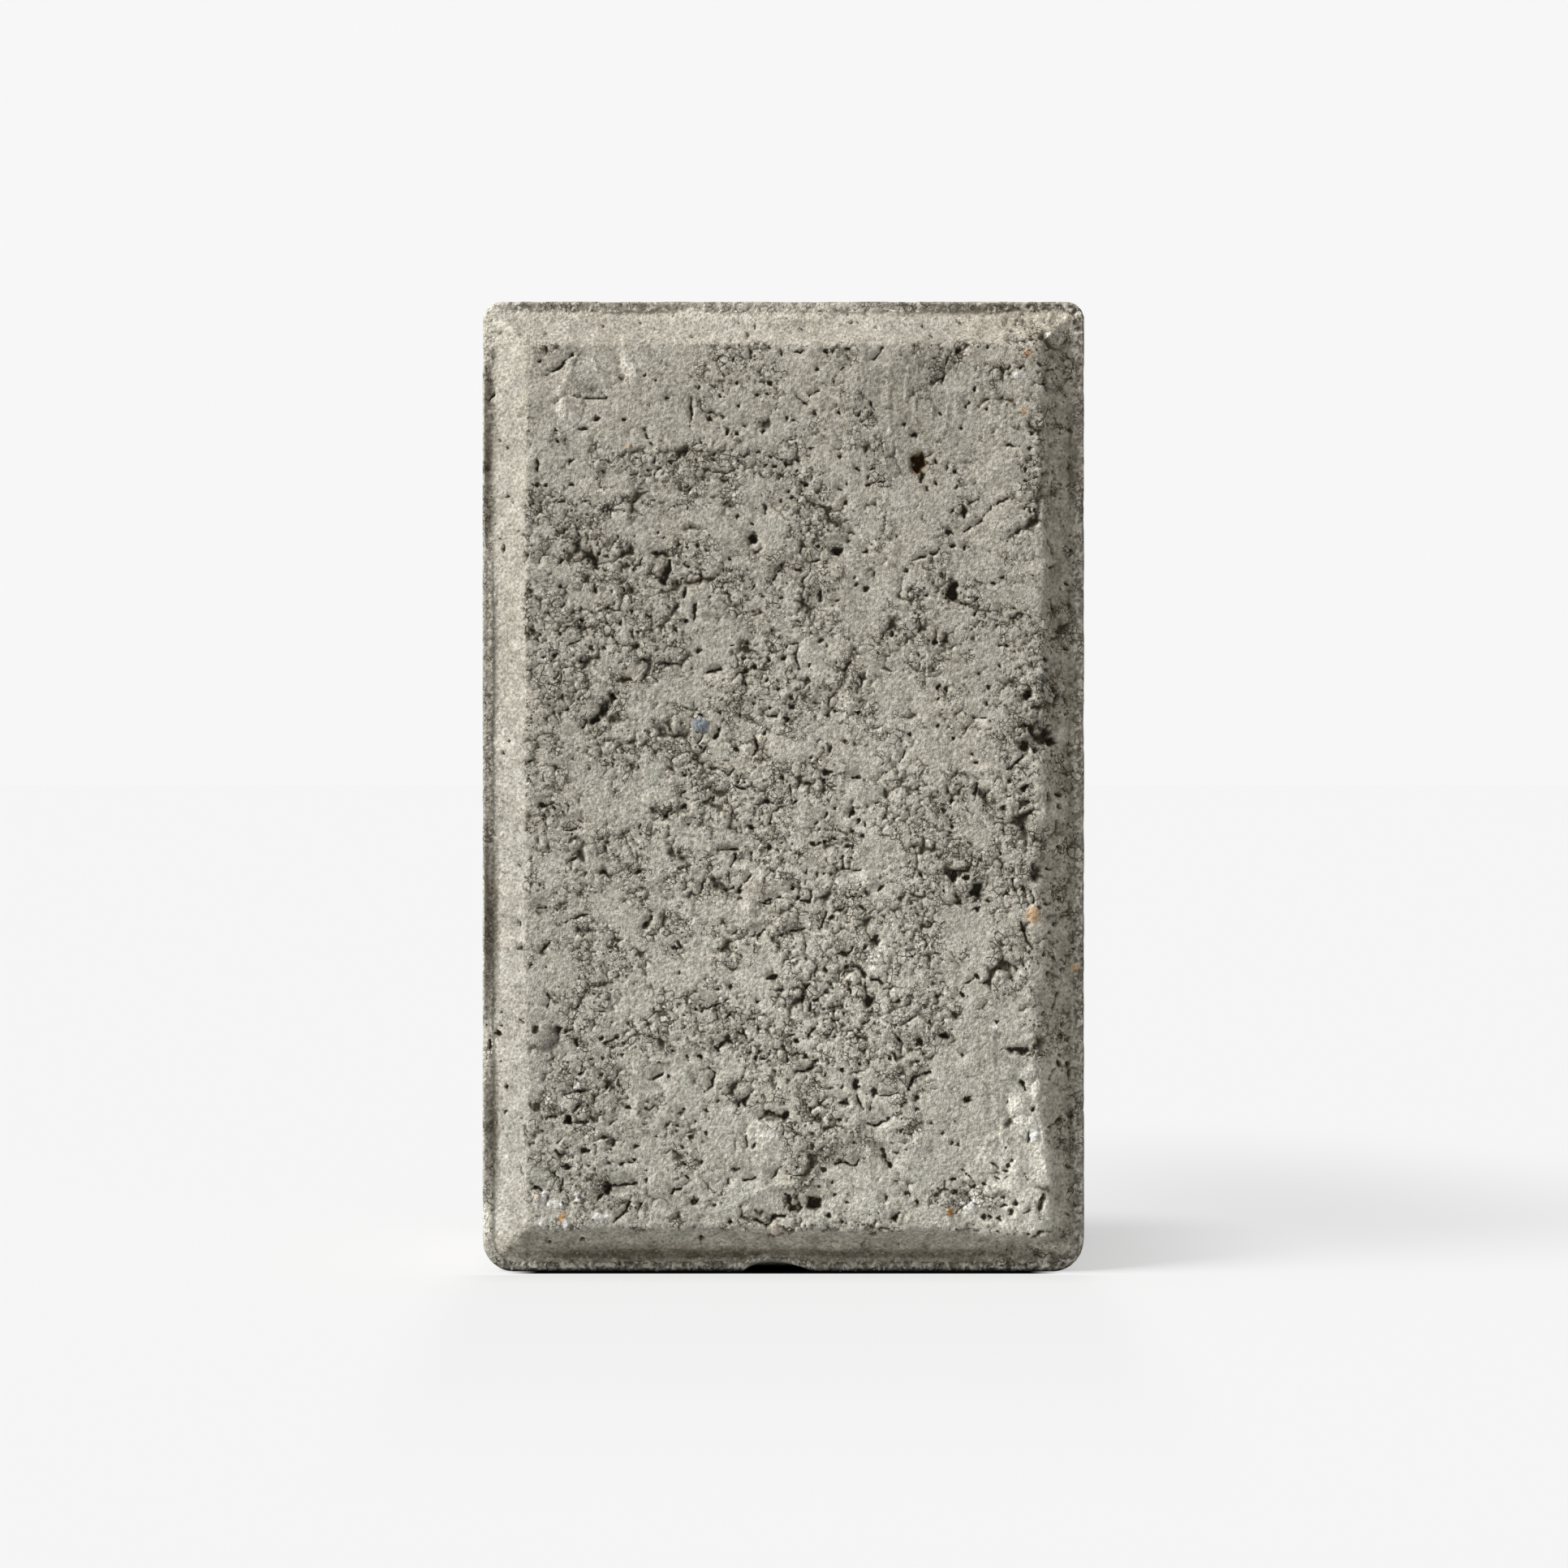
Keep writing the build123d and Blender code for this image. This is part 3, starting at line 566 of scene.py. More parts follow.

# How deep pits and crevices are cut, in mm: a start, and more for each mm of width. What lies as
# deep as the shade depth gets the full painted shade. The voids get a share of the solid's depth, and less
# painted shade.
PIT_DEPTH = (0.22, 0.75)
CREVICE_DEPTH = (0.3, 0.9)
FULL_SHADE_DEPTH = 0.4
VOID_SINK = 0.6
VOID_SHADE = 0.35


def edge_distances(half):
    """Each grid line's distance from the nearer edge, from one edge across to the other."""
    keys = (0, LAND_EDGE, LAND_WIDTH, LAND_WIDTH + GROOVE_WALL, FOOT, BROW, half)
    counts = [max(1, round((b - a) / STEP)) for a, b in zip(keys, keys[1:])]
    counts[-1] += -sum(counts) % COARSE
    parts = [np.linspace(a, b, n, endpoint=False) for a, b, n in zip(keys, keys[1:], counts)]
    rise = np.concatenate([*parts, [half]])
    return np.concatenate([rise, rise[-2::-1]])


def rounded_sheet(from_side, from_end):
    """Grid places across and up, drawn in to the rounded corners, with two distances from the edge:
    before they were drawn in, and after."""
    side, end = np.meshgrid(from_side, from_end)
    right = np.arange(len(from_side))[None, :] > len(from_side) // 2
    upper = np.arange(len(from_end))[:, None] > len(from_end) // 2
    radius = np.where(upper, UPPER_RADIUS, LOWER_RADIUS)
    a, b = radius - side, radius - end
    cornered = (a > 0) & (b > 0)
    share = np.where(cornered, np.maximum(a, b) / np.maximum(np.hypot(a, b), 1e-9), 1)
    edge = np.minimum(side, end)
    side = np.where(cornered, radius - a * share, side)
    end = np.where(cornered, radius - b * share, end)
    x = np.where(right, HALF_WIDTH - side, side - HALF_WIDTH)
    z = np.where(upper, LENGTH - end, end)
    return x, z, edge, np.minimum(side, end)


def chip_arch(x):
    """How high the chip reaches above the foot of the paver at each place across."""
    half = CHIP_WIDTH / 2
    crest = (CHIP_CREST_SHARE - 0.5) * CHIP_WIDTH
    t = np.linspace(0, 1, 33)
    path_x = -half * (1 - t) ** 2 + 2 * crest * t * (1 - t) + half * t**2
    heights = CHIP_HEIGHT * (4 * t * (1 - t)) ** CHIP_POWER
    return np.interp(x - CHIP_OFFSET, path_x, heights, left=0, right=0)


def blobs(x, z, rows):
    """The sum of soft spots, each a middle, two half sizes in pixels and a strength."""
    total = np.zeros_like(x)
    for px, py, half_x, half_z, strength in rows:
        u = (x - across(px)) * PIXELS_PER_MM / half_x
        v = (z - up(py)) * PIXELS_PER_MM / half_z
        total += strength * np.exp(-(u**2 + v**2))
    return total


def ditches(x, z):
    """How far the land is ditched at each place, from 0 to about 1."""
    return np.clip(blobs(x, z, DITCHES), 0, DITCH_LIMIT)


def front_profile(x, z, edge, mitre):
    """Depth of the smooth front behind the wearing face."""
    flat = np.stack([x, z], -1).astype(np.float32)
    base = np.where(z > LENGTH - BROW, TOP_GROOVE_SHARE, GROOVE_SHARE)
    filled = base + blobs(x, z, GROOVE_SHARES) + layers(flat, (0.2, 5, 11))
    ditch = GROOVE_DEPTH * ditches(x, z) * ramp(0.35, 0.85, edge)
    groove = np.maximum(GROOVE_DEPTH * np.clip(filled, 0, FILL_LIMIT), ditch)
    ragged = 1 + RAGGED_RIGHT * ramp(0, 0.5, x / HALF_WIDTH)
    shift = blobs(x, z, BROW_SHIFTS) + ragged * layers(flat, (0.32, 4, 12), (0.22, 1.6, 13))
    climb = (mitre + shift * ramp(FOOT + 1, BROW, mitre) - FOOT) / BEVEL_WIDTH
    inner = np.clip(climb, 0, 1)
    bevel = (LAND_DROP + groove) * (1 - climb) + BEVEL_HOLLOW * 4 * inner * (1 - inner)
    ease = BROW_EASE + WORN_EASE * np.clip(blobs(x, z, WEAR), 0, 1)
    panel = np.maximum(bevel, 0) + np.maximum(ease - np.abs(bevel), 0) ** 2 / (4 * ease)
    radius = LAND_EDGE + blobs(x, z, LAND_WEAR)
    rounding = radius - np.sqrt(np.maximum(radius**2 - np.maximum(radius - edge, 0) ** 2, 0))
    depth = np.where(edge < FOOT - GROOVE_WALL / 2, LAND_DROP + groove, panel)
    return np.where(edge < LAND_WIDTH + GROOVE_WALL / 2, LAND_DROP + rounding + ditch, depth)


def window(lines, middle, reach):
    """The stretch of grid lines within reach of a place."""
    return slice(*np.searchsorted(lines, (middle - reach, middle + reach)))


def pairs(flat_row):
    """Points from a row of x and y in turn."""
    return list(zip(flat_row[::2], flat_row[1::2]))


class Front:
    """The wearing side's relief, built up in depth on the front grid."""

    def __init__(self, x, z, edge, mitre):
        self.x, self.z, self.edge, self.mitre = x, z, edge, mitre
        self.lines_x, self.lines_z = x[len(x) // 2], z[:, x.shape[1] // 2]
        self.flat = flat = np.stack([x, z], -1).astype(np.float32)
        bend, sway, shake = shifts(flat, 1.1, 31), shifts(flat, 4.5, 33), shifts(flat, 0.6, 35)
        self.bent = flat + 0.32 * bend + 0.1 * shake
        self.swayed = self.bent + 0.9 * sway
        self.near = flat + 0.2 * bend + 0.15 * shake
        self.depth = np.zeros_like(x)
        # Painted shade in pits, cracks, voids and pores, from 0 to 1; the material darkens the colour by
        # it.
        self.cavity_shade = np.zeros_like(x)
        self.tint = np.ones(x.shape + (3,)) * BASE

    def part(self, middle_x, middle_z, reach):
        """The block round a place, with the bent distances from it in pixels."""
        cut = window(self.lines_z, middle_z, reach), window(self.lines_x, middle_x, reach)
        u = (self.near[cut][..., 0] - middle_x) * PIXELS_PER_MM
        v = (self.near[cut][..., 1] - middle_z) * PIXELS_PER_MM
        return cut, u, v

    def oval(self, px, py, half_x, half_z, lean, uneven):
        """The block round an oval and the square of the distance from its middle, 1 at its rim."""
        reach = 1.7 * max(half_x, half_z) / PIXELS_PER_MM + 0.4
        cut, u, v = self.part(across(px), up(py), reach)
        c, s = math.cos(math.radians(lean)), math.sin(math.radians(lean))
        square = ((u * c - v * s) / half_x) ** 2 + ((u * s + v * c) / half_z) ** 2
        wander = noise(self.flat[cut], 0.9 * math.sqrt(half_x * half_z) / PIXELS_PER_MM, 37)
        return cut, square * (1 + uneven * wander)

    def paint_cavity_shade(self, cut, share):
        """Paints shade into a block, as into a hollow, by a share of full darkness."""
        self.cavity_shade[cut] = np.maximum(self.cavity_shade[cut], share)

    def sink(self, cut, depth):
        """Cuts a block down to a depth below the skin, and paints shade into it by that depth."""
        skin = self.depth[cut]
        self.depth[cut] = np.maximum(skin, 0.5 * np.maximum(skin, 0) + depth)
        self.paint_cavity_shade(cut, np.clip(depth / FULL_SHADE_DEPTH, 0, 1))

    def pale(self, cut, rise):
        """Makes what stands proud paler, because it is rubbed clean."""
        self.tint[cut] *= 1 + RUBBED * rise[..., None]

    def pit(self, px, py, half_x, half_z, lean):
        """A pit about as deep as it is wide."""
        cut, square = self.oval(px, py, half_x * 1.1, half_z * 1.1, lean, 0.9)
        depth = PIT_DEPTH[0] + PIT_DEPTH[1] * min(half_x, half_z) * 2 / PIXELS_PER_MM
        self.sink(cut, depth * ramp(1.15, 0.35, square))

    def hollow(self, across_share, up_share, long, wide, lean):
        """One of the solid's voids."""
        px = PHOTO_MIDDLE_X + PIXELS_PER_MM * across_share * (HALF_WIDTH - BROW)
        level = LENGTH / 2 + up_share * (LENGTH / 2 - BROW)
        py = PHOTO_MIDDLE_Y - PIXELS_PER_MM * (level - CAMERA_HEIGHT)
        half_x = PIXELS_PER_MM * VOID_WIDTH * wide / 2
        half_z = PIXELS_PER_MM * VOID_LENGTH * long / 2
        cut, square = self.oval(px, py, half_x, half_z, 180 * lean, 0.7)
        self.depth[cut] += VOID_SINK * VOID_DEPTH * wide * ramp(1.1, 0.15, square)
        # The void gets a share of painted shade.
        self.paint_cavity_shade(cut, VOID_SHADE * ramp(0.9, 0.2, square))

    def from_line(self, width, points):
        """The block round a line and the distance from it in pixels."""
        spots = [(across(x), up(y)) for x, y in pairs(points)]
        middle = np.mean(spots, 0)
        reach = max(math.dist(middle, spot) for spot in spots) + width / PIXELS_PER_MM + 0.4
        cut, u, v = self.part(*middle, reach)
        away = np.full_like(u, 99)
        for (x0, z0), (x1, z1) in zip(spots, spots[1:]):
            a = np.array([(x0 - middle[0]), (z0 - middle[1])]) * PIXELS_PER_MM
            run = np.array([x1 - x0, z1 - z0]) * PIXELS_PER_MM
            t = np.clip(((u - a[0]) * run[0] + (v - a[1]) * run[1]) / (run @ run), 0, 1)
            away = np.minimum(away, np.hypot(u - a[0] - t * run[0], v - a[1] - t * run[1]))
        return cut, away

    def crevice(self, width, *points):
        """A crack whose width and depth vary along it."""
        cut, away = self.from_line(width, points)
        vary = layers(self.flat[cut], (1, 1.2, 41), (0.5, 0.5, 42))
        half = np.maximum(width * (0.42 + 0.4 * vary), 0.25)
        depth = CREVICE_DEPTH[0] + CREVICE_DEPTH[1] * width / PIXELS_PER_MM
        depth = depth * np.clip(0.85 + 0.6 * vary, 0.15, 1.3)
        self.sink(cut, depth * ramp(1.25, 0.4, away / half))

    def lump(self, px, py, half_x, half_z, lean, height):
        """A flat-topped grain in a broken ring of shadow."""
        cut, square = self.oval(px, py, half_x, half_z, lean, 0.3)
        self.depth[cut] -= height * np.maximum(1 - np.abs(square) ** 2.5, 0) ** 0.6
        self.pale(cut, height * ramp(1.1, 0.8, square))
        ring = np.exp(-((np.sqrt(np.maximum(square, 0)) - 1.1) / 0.16) ** 2)
        broken = ramp(-0.35, 0.25, noise(self.flat[cut], 1.6, 43) + 0.25)
        self.depth[cut] += 0.5 * height * ring * broken

    def ridge(self, width, height, *points):
        """A raised line."""
        cut, away = self.from_line(width, points)
        half = width * (0.6 + layers(self.flat[cut], (0.3, 1.4, 44)))
        line = height * ramp(1.2, 0.1, away / np.maximum(half, 0.5))
        self.depth[cut] -= line
        self.pale(cut, line)

    def pebble(self, px, py, half_x, half_z, lean, colour):
        """A grain of another colour that stands proud, or rust, which only stains."""
        cut, square = self.oval(px, py, half_x + 0.9, half_z + 0.9, lean, 0.25)
        share = ramp(1.25, 0.85, square)[..., None]
        self.tint[cut] = self.tint[cut] * (1 - share) + np.array(colour) * share
        if colour is not RUST:
            self.cavity_shade[cut] *= 1 - share[..., 0]
            rise = PEBBLE_RISE * min(half_x, half_z)
            self.depth[cut] -= rise * np.sqrt(np.maximum(1 - square, 0))


# The mix, as it shows on the face. Gaps between packed grains: how places are warped, the turn,
# grain size, seed, dome height and depth. Pores: the turn, squeeze, spacing, seed, share of places
# that hold one, and smallest and largest radius. The sides' pores have no turn or squeeze.
GRAINS = (
    ("swayed", 28, 3.4, 61, 0.08, 0.55), ("swayed", 63, 1.9, 71, 0.055, 0.45),
    ("bent", 17, 1.15, 76, 0.035, 0.4),
)
PORES = (
    (12, 1, 1.5, 81, 0.3, 0.09, 0.26), (40, 0.6, 1.9, 91, 0.32, 0.1, 0.3),
    (40, 0.6, 3.4, 101, 0.35, 0.14, 0.42),
)
SIDE_PORES = ((3.0, 151, 0.3, 0.3, 0.7), (6.5, 161, 0.35, 0.5, 1.3))

# Depths in mm and shares of shade where the face is dragged, where the lower bevel is brushed
# across and sags, and where the land is coarse.
DRAG_DEPTH = 0.15
DRAG_SHADE = 0.1
BRUSH_DEPTH = 0.08
BRUSH_SHADE = 0.3
SAG_DEPTH = 0.15
COARSE_DEPTH = 0.2
# The coarse land's darkening: its own speckled tone, and painted shade in its low spots.
COARSE_TONE_AND_SHADE = 0.3
COARSE_SPARKLE = 0.45


def voids(points, size, seed, wide):
    """Gaps between packed grains, from 0 to 1, with how far the nearest grain lies and its number."""
    near, second, label = scattered(points, size, seed)
    reach, gap = near / size, (second - near) / size
    corner = ramp(0.7 - wide, 0.88 - wide, reach)
    tail = ramp(0.11, 0.02, gap) * ramp(0.46 - wide, 0.64 - wide, reach)
    return np.maximum(corner, 0.6 * tail), reach, label


def scattered_pores(points, size, seed, share, small, large):
    """Pores round some of the scattered centres: how deep in one a place lies, 0 to 1, and its radius."""
    away, _, label = scattered(points, size, seed)
    rank = np.clip(1 - label / share, 0, 1)
    radius = small + (large - small) * rank**3
    return np.where(label < share, ramp(1.05, 0.4, away / radius), 0), radius


def stretched(flat, factor_x, factor_z, size, seed):
    """Noise drawn out across or up the face."""
    return noise(flat / np.array([factor_x, factor_z], np.float32), size, seed)


class Zones:
    """Where the front is face, bevel or land, and how worked, open, coarse or dragged it is there."""

    def __init__(self, front):
        flat, x, z, edge = front.flat, front.x, front.z, front.edge
        self.face = ramp(BROW - 0.9, BROW + 0.2, front.mitre + blobs(x, z, BROW_SHIFTS))
        self.land = ramp(LAND_WIDTH + 0.1, LAND_WIDTH, edge)
        self.bevel = np.clip(1 - self.face - self.land, 0, 1)
        self.right = ramp(0.5, 0.9, x / HALF_WIDTH)
        self.low = ramp(BROW, BROW - 2, z)
        self.worked = self.face + self.bevel * (0.15 + 0.75 * self.right)
        patches = layers(flat, (1, 9, 51), (0.6, 3.6, 52)) + blobs(x, z, OPENNESS)
        self.open = ramp(-0.75, 0.75, patches) * self.worked + 0.04 * self.bevel + 0.5 * self.land
        self.speckle = ramp(-0.3, 0.35, noise(front.bent, 0.66, 58) + layers(flat, (0.6, 1.6, 59)))
        top, foot = ramp(LENGTH - BROW, LENGTH - FOOT, z), ramp(FOOT, LAND_WIDTH, z)
        self.coarse = self.land * (0.6 + 0.4 * top + 0.5 * self.right + 0.6 * foot)
        self.coarse *= ramp(0.5, 0.1, blobs(x, z, LAND_WEAR))
        self.dragged = np.clip(blobs(x, z, DRAGGED), 0, 1)
        self.streaks = stretched(flat, 1, 14, 0.55, 59)
        self.along = stretched(flat, 16, 1, 0.6, 60)


def roughen(front, zones):
    """The relief that noise makes: swells, knobs, grit, drag marks, crevices between grains and pores, with
    painted shade in the hollows.
    """
    flat, worked, openness = front.flat, zones.worked, zones.open
    face, bevel, land, right, low = zones.face, zones.bevel, zones.land, zones.right, zones.low
    rough = face * (0.55 + 0.45 * openness) + bevel * (0.6 + 0.7 * right) + 0.6 * land
    swell = layers(flat, (0.13, 22, 53), (0.11, 9, 54))
    swell += SAG_DEPTH * low * bevel * stretched(flat, 5, 1, 2, 63)
    knobs = layers(flat, (0.09, 3.1, 55))
    knobs = knobs + layers(front.bent, (0.08, 1.5, 56)) * (1 - 0.6 * zones.dragged)
    grit = layers(front.bent, (0.09, 0.8, 57))
    front.depth += swell * (face + 0.4 * bevel) + rough * (knobs + grit)
    front.depth += COARSE_DEPTH * zones.coarse * (1 - zones.speckle)
    # Painted shade in the low spots of the coarse land.
    front.paint_cavity_shade(..., COARSE_TONE_AND_SHADE * zones.coarse * (1 - zones.speckle) ** 2)
    front.depth += DRAG_DEPTH * zones.dragged * zones.streaks * face
    front.depth += BRUSH_DEPTH * zones.along * low * bevel

    for places, turn, size, seed, dome, deep in GRAINS:
        aside = turned(flat, turn + 20)
        wide = layers(aside, (0.1, 2.4, seed + 2)) + 0.1 * (openness - 0.6)
        void, reach, label = voids(turned(getattr(front, places), turn), size, seed, wide)
        gate = ramp(-0.1, 0.3, noise(aside, 3.1, seed + 3) + 0.8 * (openness - 0.5)) * worked
        front.depth -= dome * openness * worked * (1 - np.minimum(reach, 1) ** 2) * (0.3 + label)
        front.depth += deep * void * gate
        # Painted shade in the gaps between grains.
        front.paint_cavity_shade(..., np.clip(1.3 * void, 0, 1) * gate)

    wanted = ramp(0.1, 0.6, openness) * worked + (0.4 + 0.5 * right) * bevel + 0.3 * land
    for turn, squeeze, size, seed, share, small, large in PORES:
        points = turned(front.bent, turn) * np.array([1, squeeze], np.float32)
        inside, radius = scattered_pores(points, size, seed, share, small, large)
        depth = inside * (0.15 + 1.5 * radius) * wanted
        front.depth += depth
        # Painted shade in the pores.
        front.paint_cavity_shade(..., np.clip(depth / 0.3, 0, 1))


def place_features(front, zones):
    """The features listed from the photograph."""
    front.depth += blobs(front.x, front.z, HOLLOWS) * zones.face
    for shape, rows in ((front.hollow, VOID_SHARES), (front.lump, LUMPS), (front.ridge, RIDGES)):
        for row in rows:
            shape(*row)
    for radius, places in PITS.items():
        for px, py in pairs(places):
            stretch = 1 + 0.1 * ((px + py) % 5)
            front.pit(px, py, radius / stretch, radius * stretch, (7 * px + 13 * py) % 180)
    for shape, rows in ((front.pit, OVALS), (front.crevice, CREVICES)):
        for row in rows:
            shape(*row)


def paint(front, zones):
    """The front's colour at each point: shades, with painted highlights and shade among them, mottle,
    speckle, grime with painted shade, painted warm shade on the shaded bevels, and warmth, then the
    pebbles.
    """
    flat, x, z = front.flat, front.x, front.z
    bevel, right, low, dragged = zones.bevel, zones.right, zones.low, zones.dragged
    # Spots of tone, among them painted highlights on rims and lands and painted shade along the right and
    # lower lands.
    painted = blobs(x, z, TONES_AND_PAINTED_LIGHT)
    shade = layers(flat, (0.05, 14, 111), (0.05, 4, 112), start=1 + painted)
    aside = turned(flat, 30)
    mottle = layers(aside, (0.14, 2.6, 113), (0.12, 1.2, 114)) + layers(front.bent, (0.14, 0.6, 115))
    shade += bevel * (1.25 + 0.75 * right + 0.5 * low) * mottle
    shade += DRAG_SHADE * dragged * zones.streaks * zones.face
    shade += (BRUSH_SHADE * zones.along + 0.5 * mottle) * low * bevel
    shade *= 1 - zones.coarse * (COARSE_TONE_AND_SHADE - COARSE_SPARKLE * zones.speckle)
    # Dirt and painted shade in the ditches and along the groove and the foot.
    inner = np.where(z > LENGTH / 2, LAND_WIDTH, FOOT)
    ditch_dirt_and_shade = ditches(x, z) * ramp(0.25, 0.5, front.edge)
    ditch_dirt_and_shade = ditch_dirt_and_shade * ramp(inner + 0.35, inner - 0.1, front.mitre)
    dirt_and_shade = np.clip(ditch_dirt_and_shade + blobs(x, z, DIRT_AND_PAINTED_SHADE), 0, 1)
    front.tint *= shade[..., None] * (1 - dirt_and_shade[..., None] * (1 - DIRT_AND_SHADE_SHARE))
    # Painted warm shade: the right and lower bevels, which face away from the key, lose some green and
    # blue.
    front.tint *= 1 - (bevel * np.maximum(right, low))[..., None] * SHADED_BEVEL_WARMTH
    warmth = layers(aside, (0.5, 6, 116), (0.5, 1.6, 117)) + z / LENGTH - 0.5
    front.tint *= 1 + WARM_SHARE * (warmth - 0.7 * np.maximum(painted, 0))[..., None]
    for row in PEBBLES:
        front.pebble(*row)


def front_relief(front):
    """Everything that breaks the smooth front. Returns how open the concrete is at each point."""
    zones = Zones(front)
    roughen(front, zones)
    place_features(front, zones)
    paint(front, zones)
    front.depth = np.clip(front.depth * ramp(0, 0.35, front.edge), -FACE_RECESS, DEEPEST)
    return zones.open


def ring_order(rows, columns):
    """Indices round the border of a grid, anticlockwise as the front is seen."""
    grid = np.arange(rows * columns).reshape(rows, columns)
    return np.concatenate([grid[0, :-1], grid[:-1, -1], grid[-1, :0:-1], grid[:0:-1, 0]])


def grid_faces(rows, columns):
    """Quads of a grid, anticlockwise as the front is seen."""
    grid = np.arange(rows * columns).reshape(rows, columns)
    return np.stack([grid[:-1, :-1], grid[:-1, 1:], grid[1:, 1:], grid[1:, :-1]], -1).reshape(-1, 4)


def band(front_ring, back_ring):
    """Quads between two rings of the same length, the second further back."""
    beyond = np.roll(back_ring, -1), np.roll(front_ring, -1)
    return np.stack([front_ring, back_ring, *beyond], -1)


def fan_band(fine, coarse):
    """Triangles from a fine ring to one with a point for every COARSE of its own, which is 3."""
    fine = np.append(fine, fine[0]).astype(np.int64)
    beyond = np.roll(coarse, -1)
    first = [fine[k:-1:COARSE] for k in range(COARSE)] + [fine[COARSE::COARSE]]
    corners = ((first[0], coarse, first[1]), (first[1], coarse, beyond),
               (first[1], beyond, first[2]), (first[2], beyond, first[3]))
    return np.concatenate([np.stack(three, -1) for three in corners])


def outward(co, quads, triangles):
    """Normals of the smooth surface at its points."""
    normals = np.zeros_like(co)
    for faces in (quads, triangles):
        first, second = co[faces[:, 2]] - co[faces[:, 0]], co[faces[:, -1]] - co[faces[:, 1]]
        tilts = np.cross(first, second)
        for corner in range(faces.shape[1]):
            for axis in range(3):
                normals[:, axis] += np.bincount(faces[:, corner], tilts[:, axis], len(co))
    return normals / np.maximum(np.linalg.norm(normals, axis=1, keepdims=True), 1e-12)


def chip_away(co):
    """Lifts the foot of the paver over the chip, which sinks out towards the back."""
    behind = np.clip((co[:, 1] - FACE - LAND_DROP) / CHIP_REACH, 0, 1)
    near_foot = np.clip(1 - co[:, 2] / CHIP_FADE, 0, 1) ** 2
    co[:, 2] += chip_arch(co[:, 0]) * (1 - behind) * near_foot


def side_relief(points):
    """Depth, openness and painted shade in the hollows of the pressed sides and the bed, where no features
    are listed.
    """
    swept = points * np.array([1, 0.06, 1], np.float32)
    depth = layers(points, (0.07, 16, 121), (0.06, 4, 122), start=SIDE_RECESS)
    depth += layers(points, (0.05, 1.6, 123)) + layers(swept, (0.05, 0.9, 124))
    openness = 0.6 * ramp(-0.1, 0.8, layers(points, (1, 11, 125), (0.5, 4, 126)))
    cavity_shade = np.zeros(len(points), np.float32)
    bent = points + 0.4 * shifts(points, 1.6, 131)
    near, second, _ = scattered(bent, 3.4, 141)
    crack = np.exp(-(((second - near) / 0.4) ** 2)) * openness
    crack = crack * ramp(0, 0.5, noise(points, 2.6, 145))
    depth += 0.5 * crack
    for row in SIDE_PORES:
        inside, radius = scattered_pores(bent, *row)
        pore = inside * 0.9 * radius * (0.4 + 0.8 * openness)
        depth += pore
        # Painted shade in the pores; the cracks get it too, at the return.
        cavity_shade = np.maximum(cavity_shade, np.clip(pore / 0.6, 0, 1))
    return depth, 0.5 * openness, np.maximum(cavity_shade, 0.8 * crack)


class Shell:
    """The closed surface as it is built: sheets of points from the front backwards, joined ring by ring."""

    def __init__(self, sheet, rows, columns):
        self.sheets = [sheet]
        self.count = rows * columns
        self.quads = [grid_faces(rows, columns)]
        self.ring = ring_order(rows, columns)
        self.triangles = None

    def add(self, sheet, order=None, fan=False):
        """Joins the last ring to a new sheet, by all of its points or by those that an order names."""
        order = np.arange(len(sheet)) if order is None else order
        below = order + self.count
        if fan:
            self.triangles = fan_band(self.ring, below)
        else:
            self.quads.append(band(self.ring, below))
        self.sheets.append(sheet)
        self.ring = below
        self.count += len(sheet)


def smooth_shell(from_side, from_end):
    """The paver without its fine relief: the front grid, the sides' rings, the bed's arris and the bed."""
    x, z, edge, mitre = rounded_sheet(from_side, from_end)
    front = np.stack([x, FACE + front_profile(x, z, edge, mitre), z], -1).reshape(-1, 3)
    shell = Shell(front, *x.shape)
    rim = front[shell.ring]
    for drop in FINE_ROWS:
        shell.add(rim + np.array([0, drop, 0]))
    coarse_rim = rim[::COARSE] * np.array([1, 0, 1])
    start = rim[0, 1] + FINE_ROWS[-1] + ROW_STEP / 2
    end = BED - BED_EDGE
    for number, level in enumerate(np.linspace(start, end, round((end - start) / ROW_STEP))):
        shell.add(coarse_rim + np.array([0, level, 0]), fan=number == 0)
    for degrees in BED_ANGLES:
        inset = BED_EDGE * (1 - math.cos(math.radians(degrees)))
        level = BED - BED_EDGE * (1 - math.sin(math.radians(degrees)))
        side = inset + from_side[::COARSE] * (1 - inset / HALF_WIDTH)
        up_end = inset + from_end[::COARSE] * (1 - inset / (LENGTH / 2))
        back_x, back_z, _, _ = rounded_sheet(side, up_end)
        sheet = np.stack([back_x, np.full_like(back_x, level), back_z], -1).reshape(-1, 3)
        order = ring_order(*back_x.shape)
        if degrees < BED_ANGLES[-1]:
            shell.add(sheet[order])
        else:
            shell.quads.append(grid_faces(*back_x.shape)[:, ::-1] + shell.count)
            shell.add(sheet, order)
    return shell, Front(x, z, edge, mitre), rim[0, 1]


